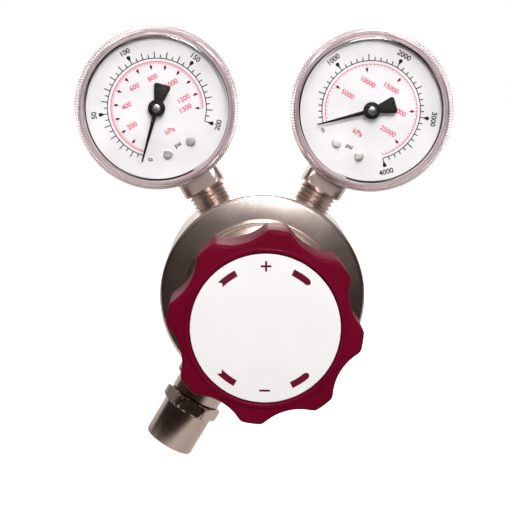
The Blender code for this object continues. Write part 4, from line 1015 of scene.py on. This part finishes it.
def make_window(size, finish, name, angle):
    """A gauge's clear window with a knurled flange."""
    back, face = gauge_depths(f"{name}_window")
    flange = node_radius(f"{name}_window")
    bore = flange - 0.0027
    skirt = flange - 0.0017
    ledge = back + 0.0040
    top = back + 0.0047
    inner = face - 0.0022
    middle = flange - 0.02
    pole = 0.0001
    depth = 0.0006

    def knurled(radius, height):
        def radius_at(theta):
            wave = math.cos(math.radians(theta * size.knurls))
            return radius - depth * (0.5 - 0.5 * wave)
        return radius_at, height

    rings = circles([(skirt, ledge), (skirt, back), (flange - 0.0004, back)])
    rings += [knurled(flange, back + 0.0004), knurled(flange, top - 0.0002),
              knurled(flange - 0.0003, top + 0.0002), knurled(flange - 0.0009, top + 0.00055)]
    rings += circles([
        (flange - 0.00125, top + 0.0010), (flange - 0.0015, top + 0.0020),
        (flange - 0.0018, top + 0.0032), (flange - 0.0021, top + 0.0041),
        (flange - 0.0026, top + 0.0047), (flange - 0.0032, face - 0.0001),
        (flange - 0.0038, face), (flange - 0.0039, face), (middle, face), (pole, face),
        (pole, inner), (middle, inner), (bore - 0.0009, inner), (bore - 0.0008, inner),
        (bore - 0.0003, inner - 0.0003), (bore, inner - 0.0008), (bore, ledge),
    ])
    bm = ring_solid(rings, 720, closed=True)
    bmesh.ops.remove_doubles(bm, verts=bm.verts, dist=MERGE)
    # Faces outside the bore take the ring's darker copy of the plastic, its painted shade
    mark_faces(bm, lambda radius: radius > bore)
    window = new_piece(f"{name}_window_finish", bm, gauge_matrix(angle), surface("clear_window"),
                       sharp=45)
    window.data.materials.append(surface("clear_ring"))
    attach(window, "regulator", "clear_window", f"{name}_window")


def text_marks(text, height, place):
    """A printed number or unit as a thin solid, centred on its place."""
    capital = 0.72
    weight = 0.035
    curve = bpy.data.curves.new("print", "FONT")
    curve.body = text
    curve.align_x = "CENTER"
    curve.align_y = "CENTER"
    curve.size = height / capital
    curve.offset = height * weight
    curve.resolution_u = 4
    curve.extrude = 0.000015
    holder = bpy.data.objects.new("print", curve)
    bpy.context.scene.collection.objects.link(holder)
    bpy.context.view_layer.update()
    graph = bpy.context.evaluated_depsgraph_get()
    mesh = bpy.data.meshes.new_from_object(holder.evaluated_get(graph))
    bm = bmesh.new()
    bm.from_mesh(mesh)
    lows = [min(v.co[k] for v in bm.verts) for k in (0, 1)]
    highs = [max(v.co[k] for v in bm.verts) for k in (0, 1)]
    centre = Vector(((lows[0] + highs[0]) / 2, (lows[1] + highs[1]) / 2, 0))
    bmesh.ops.transform(bm, matrix=place @ Matrix.Translation(-centre), verts=bm.verts)
    bpy.data.objects.remove(holder, do_unlink=True)
    bpy.data.curves.remove(curve)
    bpy.data.meshes.remove(mesh)
    return bm


def radial_bar(angle, inner, outer, width, height):
    """A thin printed tick along a radius."""
    half = width / 2
    bm = flat_mark([(inner, -half), (outer, -half), (outer, half), (inner, half)], height)
    turn_about_z(bm, angle)
    return bm


def drop_mark(angle, centre, length, width, height):
    """A printed drop whose point is towards the centre."""
    round_radius = width / 2
    points = [(centre - length / 2, 0.0)]
    for k in range(9):
        x, y = polar(round_radius, -75 + 150 * k / 8)
        points.append((centre + length / 2 - round_radius + x, y))
    bm = flat_mark(points, height)
    turn_about_z(bm, angle)
    return bm


def on_dial(radius, angle, turn=0.0):
    """A place on the dial, turned about itself."""
    x, y = polar(radius, angle)
    return Matrix.Translation((x, y, 0)) @ Matrix.Rotation(math.radians(turn), 4, "Z")


def psi_angle(scale, value):
    """The angle at which a scale shows a pressure in psi."""
    return DIAL_ZERO - DIAL_SWEEP * value / scale["full"]


def kpa_angle(scale, value):
    """The angle at which a scale shows a pressure in kPa."""
    return psi_angle(scale, value / PSI_IN_KPA)


def psi_print(scale, thick):
    """The outer scale: its arc, ticks, drops, numbers and unit."""
    arc = 0.0159
    small = 0.0015
    marks = [flat_mark(arc_band(arc, 0.00015, DIAL_ZERO - DIAL_SWEEP, DIAL_ZERO, 120), thick)]
    for value in range(0, scale["full"] + 1, scale["step"]):
        angle = psi_angle(scale, value)
        if value % scale["major"] == 0 and value:
            marks.append(radial_bar(angle, arc, 0.0172, 0.0003, thick))
            marks.append(drop_mark(angle, 0.0178, 0.0022, 0.0014, thick))
        else:
            outer = 0.0180 if value % scale["long"] == 0 else 0.0171
            marks.append(radial_bar(angle, arc, outer, 0.00034, thick))
    for value in range(scale["major"], scale["full"] + 1, scale["major"]):
        angle = psi_angle(scale, value)
        turn = angle + 90 if value == scale["full"] else angle - 90
        marks.append(text_marks(str(value), 0.0017, on_dial(0.0204, angle, turn)))
    marks.append(text_marks("0", small, on_dial(0.0168, 233, 50)))
    marks.append(text_marks("psi", small, on_dial(0.0137, 270)))
    return marks


def kpa_print(scale, thick):
    """The inner scale: its arc, ticks, numbers and unit."""
    arc = 0.0148
    end = kpa_angle(scale, scale["red_end"])
    marks = [flat_mark(arc_band(arc, 0.00012, end, DIAL_ZERO, 120), thick)]
    for value in range(0, scale["red_end"] + 1, scale["red_step"]):
        inner = 0.0136 if value % scale["red_long"] == 0 else 0.0140
        marks.append(radial_bar(kpa_angle(scale, value), inner, arc, 0.00018, thick))
    for value in scale["red_numbers"]:
        angle = kpa_angle(scale, value)
        sideways = abs(math.cos(math.radians(angle)))
        reach = 0.0098 - 0.0006 * sideways * (len(str(value)) - 3)
        marks.append(text_marks(str(value), 0.0016, on_dial(reach, angle)))
    marks.append(text_marks("kPa", 0.0017, on_dial(0.0083, 270)))
    return marks


def kpa_drops(scale, thick):
    """The dark drops under the inner scale's long ticks."""
    return [drop_mark(kpa_angle(scale, value), 0.0129, 0.0016, 0.0010, thick)
            for value in range(scale["red_long"], scale["red_end"] + 1, scale["red_long"])]


def make_dial(size, finish, name, angle):
    """A gauge's dial with its scales in black and red."""
    matrix = gauge_matrix(angle)
    back, top = gauge_depths(f"{name}_dial")
    radius = node_radius(f"{name}_case") - 0.0011
    hub_hole = 0.0018
    edge = 0.0001
    # Painted shade: the dial's white is a darker copy, offsetting light that comes twice through
    # the window
    enamel = surface("dial_enamel")
    profile = [(hub_hole, back), (radius, back), (radius, top - edge), (radius - edge, top),
               (hub_hole, top)]
    dial = new_piece(f"{name}_dial_finish", turn_profile(profile, size.round_faces, closed=True),
                     matrix, enamel)
    carve(dial, [cutter(f"{name}_dial_tool_{side}", SCREW_HOLE, back - 0.001, top + 0.001, 24,
                        screw_place(angle, side), enamel) for side in (-1, 1)])
    attach(dial, "regulator", "white_enamel", f"{name}_dial")

    face = matrix @ Matrix.Translation((0, 0, top))
    for word, draw, ink, slot in (("black", psi_print, "black_ink", "black_enamel"),
                                  ("red", kpa_print, "red_ink", "knob_plastic"),
                                  ("dark", kpa_drops, "dark_red_ink", "knob_plastic")):
        marks = join_bm(draw(SCALES[name], size.print_height))
        piece = new_piece(f"{name}_dial_print_{word}", marks, face, surface(ink))
        attach(piece, "regulator", slot)


def make_pointer(size, finish, name, angle):
    """A gauge's black pointer with its bright pin, at rest on zero."""
    back, top = gauge_depths(f"{name}_pointer")
    matrix = gauge_matrix(angle) @ Matrix.Rotation(math.radians(DIAL_ZERO), 4, "Z")
    tip = 0.0178
    tail_end = -0.0079
    tail_half = 0.0027
    corner = 0.0009
    tail = []
    for side in (1, -1):
        for k in range(4):
            x, y = polar(corner, (90 if side > 0 else 180) + 30 * k)
            tail.append((tail_end + corner + x, side * (tail_half - corner) + y))
    outline = [(tip, -0.0002), (tip, 0.0002), (0.0, 0.00075)] + tail + [(0.0, -0.00075)]
    arm = extrude_up(face_from(outline[::-1], top - 0.0012), 0.0004)
    bevel_sharp(arm, 0.00006)
    bore = 0.0007
    hub = 0.00275
    profile = rounded([(bore, back, 0.0), (hub, back, 0.0002), (hub, top - 0.0004, 0.0003),
                       (0.0019, top, 0.0002), (bore, top, 0.0)])
    pointer = new_piece(f"{name}_pointer_finish",
                        join_bm([arm, turn_profile(profile, 64, closed=True)]), matrix,
                        surface("black_enamel"))
    attach(pointer, f"{name}_pointer", "black_enamel", f"{name}_pointer")
    pin = 0.0013
    profile = rounded([(0.0, top - 0.0004, 0.0), (pin, top - 0.0004, 0.0),
                       (pin, top + 0.00012, 0.0003), (0.0, top + 0.0003, 0.0)], 6)
    bright = new_piece(f"{name}_pointer_pin", turn_profile(profile, 48), matrix,
                       surface("stainless_fine"))
    attach(bright, f"{name}_pointer", "stainless")


def make_dial_screws(size, finish, name, angle):
    """The two slotted screws that hold a dial."""
    zinc = surface("zinc_screw")
    shank = 0.0008
    head = 0.00155
    long = 0.002
    half = 0.00024
    for side, word in ((-1, "left"), (1, "right")):
        node = f"{name}_dial_screw_{word}"
        low, high = gauge_depths(node)
        under = high - 0.0006
        profile = rounded([(0.0, low, 0.0), (shank, low, 0.0002), (shank, under, 0.0),
                           (head, under, 0.0), (head, high, 0.00035), (0.0, high, 0.0)])
        place = screw_place(angle, side)
        screw = new_piece(f"{node}_finish", turn_profile(profile, 40), place, zinc)
        slot = extrude_up(face_from([(-long, -half), (long, -half), (long, half), (-long, half)],
                                    high - 0.0005), 0.001)
        turn = Matrix.Rotation(math.radians(35 * side + 10), 4, "Z")
        carve(screw, [new_piece(f"{node}_tool", slot, place @ turn, zinc)])
        attach(screw, "regulator", "stainless", node)


def make_shared_finishes(finish):
    """The finishes that several pieces share."""
    make_turned_grain()
    make_surface_grain()
    for name, (color, metallic, roughness) in SHARED_FINISHES.items():
        material = grained(f"{name}_surface", tuple(getattr(finish, color)), metallic, roughness)
        if metallic == 0.0:
            set_plain(material, Specular_IOR_Level=0.12)
    clear_plastic("clear_window_surface", tuple(finish.clear_color))
    # Painted shade: the thick ring's plastic is a darker, pinker copy of the clear plastic
    clear_plastic("clear_ring_surface", tuple(finish.ring_color), 0.12)


def dress_inside():
    """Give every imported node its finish."""
    for name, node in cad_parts.items():
        kind = next((word for word in INSIDE_FINISHES if name.endswith(word)), None)
        material = surface(INSIDE_FINISHES[kind] if kind else "stainless_fine")
        node.data.materials.clear()
        node.data.materials.append(material)


# The stage


def add_lamp(name, place, target, width, height, watts, color=(1.0, 1.0, 1.0)):
    """A soft box that shines at a point."""
    lamp = bpy.data.lights.new(name, "AREA")
    lamp.shape = "RECTANGLE"
    lamp.size = width
    lamp.size_y = height
    lamp.energy = watts
    lamp.color = color
    holder = bpy.data.objects.new(name, lamp)
    holder.location = place
    holder.rotation_euler = (Vector(target) - Vector(place)).to_track_quat("-Z", "Y").to_euler()
    bpy.context.scene.collection.objects.link(holder)


def seen_directly(tree, behind):
    """1 for camera rays, and a given share for mirrored and refracted rays."""
    path = tree.nodes.new("ShaderNodeLightPath")
    mirrored = math_node(tree, "MAXIMUM", path.outputs["Is Glossy Ray"],
                         path.outputs["Is Transmission Ray"])
    mirrored = math_node(tree, "MULTIPLY", mirrored, behind)
    return math_node(tree, "MAXIMUM", path.outputs["Is Camera Ray"], mirrored)


def make_world():
    """Soft studio surroundings: bright above, dim at the sides, white behind."""
    world = bpy.data.worlds.new("studio")
    bpy.context.scene.world = world
    world.use_nodes = True
    tree = world.node_tree
    place = tree.nodes.new("ShaderNodeTexCoord").outputs["Generated"]
    split = tree.nodes.new("ShaderNodeSeparateXYZ")
    tree.links.new(place, split.inputs[0])

    floor_color = (0.16, 0.12, 0.11)
    dim_color = (0.03, 0.018, 0.015)
    upper_color = (0.45, 0.40, 0.38)
    top_color = (0.75, 0.72, 0.71)
    ramp = tree.nodes.new("ShaderNodeValToRGB")
    stops = ramp.color_ramp.elements
    stops[0].position = 0.0
    stops[0].color = (*floor_color, 1)
    stops[1].position = 1.0
    stops[1].color = (*top_color, 1)
    for position, color in ((0.36, dim_color), (0.66, dim_color), (0.82, upper_color)):
        stops.new(position).color = (*color, 1)
    height = math_node(tree, "ADD", math_node(tree, "MULTIPLY", split.outputs[2], 0.5), 0.5)
    tree.links.new(height, ramp.inputs["Fac"])

    mix = tree.nodes.new("ShaderNodeMix")
    mix.data_type = "RGBA"
    mix.inputs["B"].default_value = (1, 1, 1, 1)
    past = math_node(tree, "ADD", split.outputs[1], -0.35)
    behind = math_node(tree, "MULTIPLY", past, 4.0, clamp=True)
    tree.links.new(seen_directly(tree, behind), mix.inputs["Factor"])
    tree.links.new(ramp.outputs["Color"], mix.inputs["A"])
    tree.links.new(mix.outputs["Result"], tree.nodes["Background"].inputs["Color"])


def make_floor():
    """A pale floor well below the regulator."""
    pale = (0.72, 0.72, 0.72)
    drop = 0.1
    bm = bmesh.new()
    bmesh.ops.create_grid(bm, x_segments=1, y_segments=1, size=3.0)
    bmesh.ops.translate(bm, verts=bm.verts, vec=(0, 2.8, CAD_BOUNDS[0].z - drop))
    material, tree, shader, place = material_base("pale_floor", pale, 0.0, 0.6)
    grain = use_group(tree, "surface_grain", place)
    tint(tree, shader, grain["Slow"], pale, 0.98, 1.0)
    shader.inputs["Emission Color"].default_value = (1, 1, 1, 1)
    glow = math_node(tree, "MULTIPLY", seen_directly(tree, 0.15), 0.85)
    tree.links.new(glow, shader.inputs["Emission Strength"])
    floor = new_piece("studio_floor", bm, Matrix.Identity(4), material)


def make_camera():
    """The photograph's viewpoint."""
    target = Vector((-0.0022, -0.0375, 0.0133))
    distance = 0.45
    rise = math.radians(7.9)
    side = math.radians(-0.73)
    roll = math.radians(0.66)
    camera = bpy.data.cameras.new("camera")
    camera.lens = 98.9
    camera.sensor_width = 36.0
    camera.clip_start = 0.01
    back = Vector((math.sin(side) * math.cos(rise), -math.cos(side) * math.cos(rise),
                   math.sin(rise)))
    right = Vector((math.cos(side), math.sin(side), 0))
    matrix = Matrix((right, back.cross(right), back)).transposed().to_4x4()
    matrix.translation = target + distance * back
    holder = bpy.data.objects.new("camera", camera)
    holder.matrix_world = matrix @ Matrix.Rotation(roll, 4, "Z")
    bpy.context.scene.collection.objects.link(holder)
    bpy.context.scene.camera = holder


def make_stage():
    """Floor, lamps, surroundings and camera."""
    make_world()
    make_floor()
    centre = (0.0, -0.05, 0.0)
    add_lamp("top_box", (0.0, -0.3, 0.7), centre, 0.35, 0.3, 1.6, (1.0, 0.98, 0.96))
    add_lamp("front_key", (0.1, -0.95, 0.48), centre, 0.24, 0.24, 8.6)
    add_lamp("back_box", (0.0, 0.9, 0.4), centre, 0.8, 0.25, 5.0)
    bpy.context.scene.view_settings.view_transform = "Standard"
    make_camera()


# The add-on


class BuildStep:
    """What every step of the build shares."""

    bl_options = {"REGISTER", "UNDO"}

    def settings(self, context):
        """The sizes and colours that the panel edits."""
        return context.scene.regulator_sizes, context.scene.regulator_finish

    def for_each_gauge(self, context, *makers):
        """Call each maker for one gauge, and then for the other."""
        for name, angle in GAUGES.items():
            for make in makers:
                make(*self.settings(context), name, angle)
        return {"FINISHED"}


class REGULATOR_OT_finishes(BuildStep, bpy.types.Operator):
    """Make the shared finishes and dress the inner pieces"""

    bl_idname = "regulator.finishes"
    bl_label = "Finishes"

    def execute(self, context):
        finish = self.settings(context)[1]
        make_shared_finishes(finish)
        dress_inside()
        return {"FINISHED"}


class REGULATOR_OT_body(BuildStep, bpy.types.Operator):
    """Make the fine body"""

    bl_idname = "regulator.body"
    bl_label = "Body"

    def execute(self, context):
        make_body(*self.settings(context))
        return {"FINISHED"}


class REGULATOR_OT_bonnet(BuildStep, bpy.types.Operator):
    """Make the fine bonnet"""

    bl_idname = "regulator.bonnet"
    bl_label = "Bonnet"

    def execute(self, context):
        make_bonnet(*self.settings(context))
        return {"FINISHED"}


class REGULATOR_OT_knob(BuildStep, bpy.types.Operator):
    """Make the fine knob"""

    bl_idname = "regulator.knob"
    bl_label = "Knob"

    def execute(self, context):
        make_knob(*self.settings(context))
        return {"FINISHED"}


class REGULATOR_OT_label(BuildStep, bpy.types.Operator):
    """Make the knob's printed label"""

    bl_idname = "regulator.label"
    bl_label = "Label"

    def execute(self, context):
        make_label(*self.settings(context))
        return {"FINISHED"}


class REGULATOR_OT_relief_valve(BuildStep, bpy.types.Operator):
    """Make the fine relief valve"""

    bl_idname = "regulator.relief_valve"
    bl_label = "Relief Valve"

    def execute(self, context):
        make_relief_valve(*self.settings(context))
        return {"FINISHED"}


class REGULATOR_OT_springs(BuildStep, bpy.types.Operator):
    """Make the fine springs"""

    bl_idname = "regulator.springs"
    bl_label = "Springs"

    def execute(self, context):
        make_springs()
        return {"FINISHED"}


class REGULATOR_OT_stems(BuildStep, bpy.types.Operator):
    """Make the gauges' stems"""

    bl_idname = "regulator.stems"
    bl_label = "Gauge Stems"

    def execute(self, context):
        return self.for_each_gauge(context, make_stem)


class REGULATOR_OT_cases(BuildStep, bpy.types.Operator):
    """Make the gauges' cases and window gaskets"""

    bl_idname = "regulator.cases"
    bl_label = "Gauge Cases"

    def execute(self, context):
        return self.for_each_gauge(context, make_case, make_gasket)


class REGULATOR_OT_windows(BuildStep, bpy.types.Operator):
    """Make the gauges' knurled windows"""

    bl_idname = "regulator.windows"
    bl_label = "Gauge Windows"

    def execute(self, context):
        return self.for_each_gauge(context, make_window)


class REGULATOR_OT_dials(BuildStep, bpy.types.Operator):
    """Make the gauges' printed dials and their screws"""

    bl_idname = "regulator.dials"
    bl_label = "Gauge Dials"

    def execute(self, context):
        return self.for_each_gauge(context, make_dial, make_dial_screws)


class REGULATOR_OT_pointers(BuildStep, bpy.types.Operator):
    """Make the gauges' pointers"""

    bl_idname = "regulator.pointers"
    bl_label = "Gauge Pointers"

    def execute(self, context):
        return self.for_each_gauge(context, make_pointer)


class REGULATOR_OT_stage(BuildStep, bpy.types.Operator):
    """Set up the floor, lamps, surroundings and camera"""

    bl_idname = "regulator.stage"
    bl_label = "Stage"

    def execute(self, context):
        make_stage()
        return {"FINISHED"}


class REGULATOR_PT_panel(bpy.types.Panel):
    """Panel with the sizes, colours and steps."""

    bl_label = "Gas Regulator"
    bl_idname = "REGULATOR_PT_panel"
    bl_space_type = "VIEW_3D"
    bl_region_type = "UI"
    bl_category = "Regulator"

    def draw(self, context):
        layout = self.layout
        for group in (context.scene.regulator_sizes, context.scene.regulator_finish):
            for name in group.bl_rna.properties.keys():
                if name not in {"rna_type", "name"}:
                    layout.prop(group, name)
        for step in STEPS:
            layout.operator(step.bl_idname)


STEPS = (REGULATOR_OT_finishes, REGULATOR_OT_body, REGULATOR_OT_bonnet, REGULATOR_OT_knob,
         REGULATOR_OT_label, REGULATOR_OT_relief_valve, REGULATOR_OT_springs, REGULATOR_OT_stems,
         REGULATOR_OT_cases, REGULATOR_OT_windows, REGULATOR_OT_dials, REGULATOR_OT_pointers,
         REGULATOR_OT_stage)
CLASSES = (RegulatorSizes, RegulatorFinish, *STEPS, REGULATOR_PT_panel)


def register():
    """Register the add-on's classes and its settings."""
    for item in CLASSES:
        bpy.utils.register_class(item)
    bpy.types.Scene.regulator_sizes = PointerProperty(type=RegulatorSizes)
    bpy.types.Scene.regulator_finish = PointerProperty(type=RegulatorFinish)


def unregister():
    """Remove the add-on's settings and classes."""
    del bpy.types.Scene.regulator_finish
    del bpy.types.Scene.regulator_sizes
    for item in reversed(CLASSES):
        bpy.utils.unregister_class(item)


def main():
    """Build every piece in order."""
    register()
    for step in STEPS:
        group, name = step.bl_idname.split(".")
        getattr(getattr(bpy.ops, group), name)()


if __name__ == "__main__":
    main()
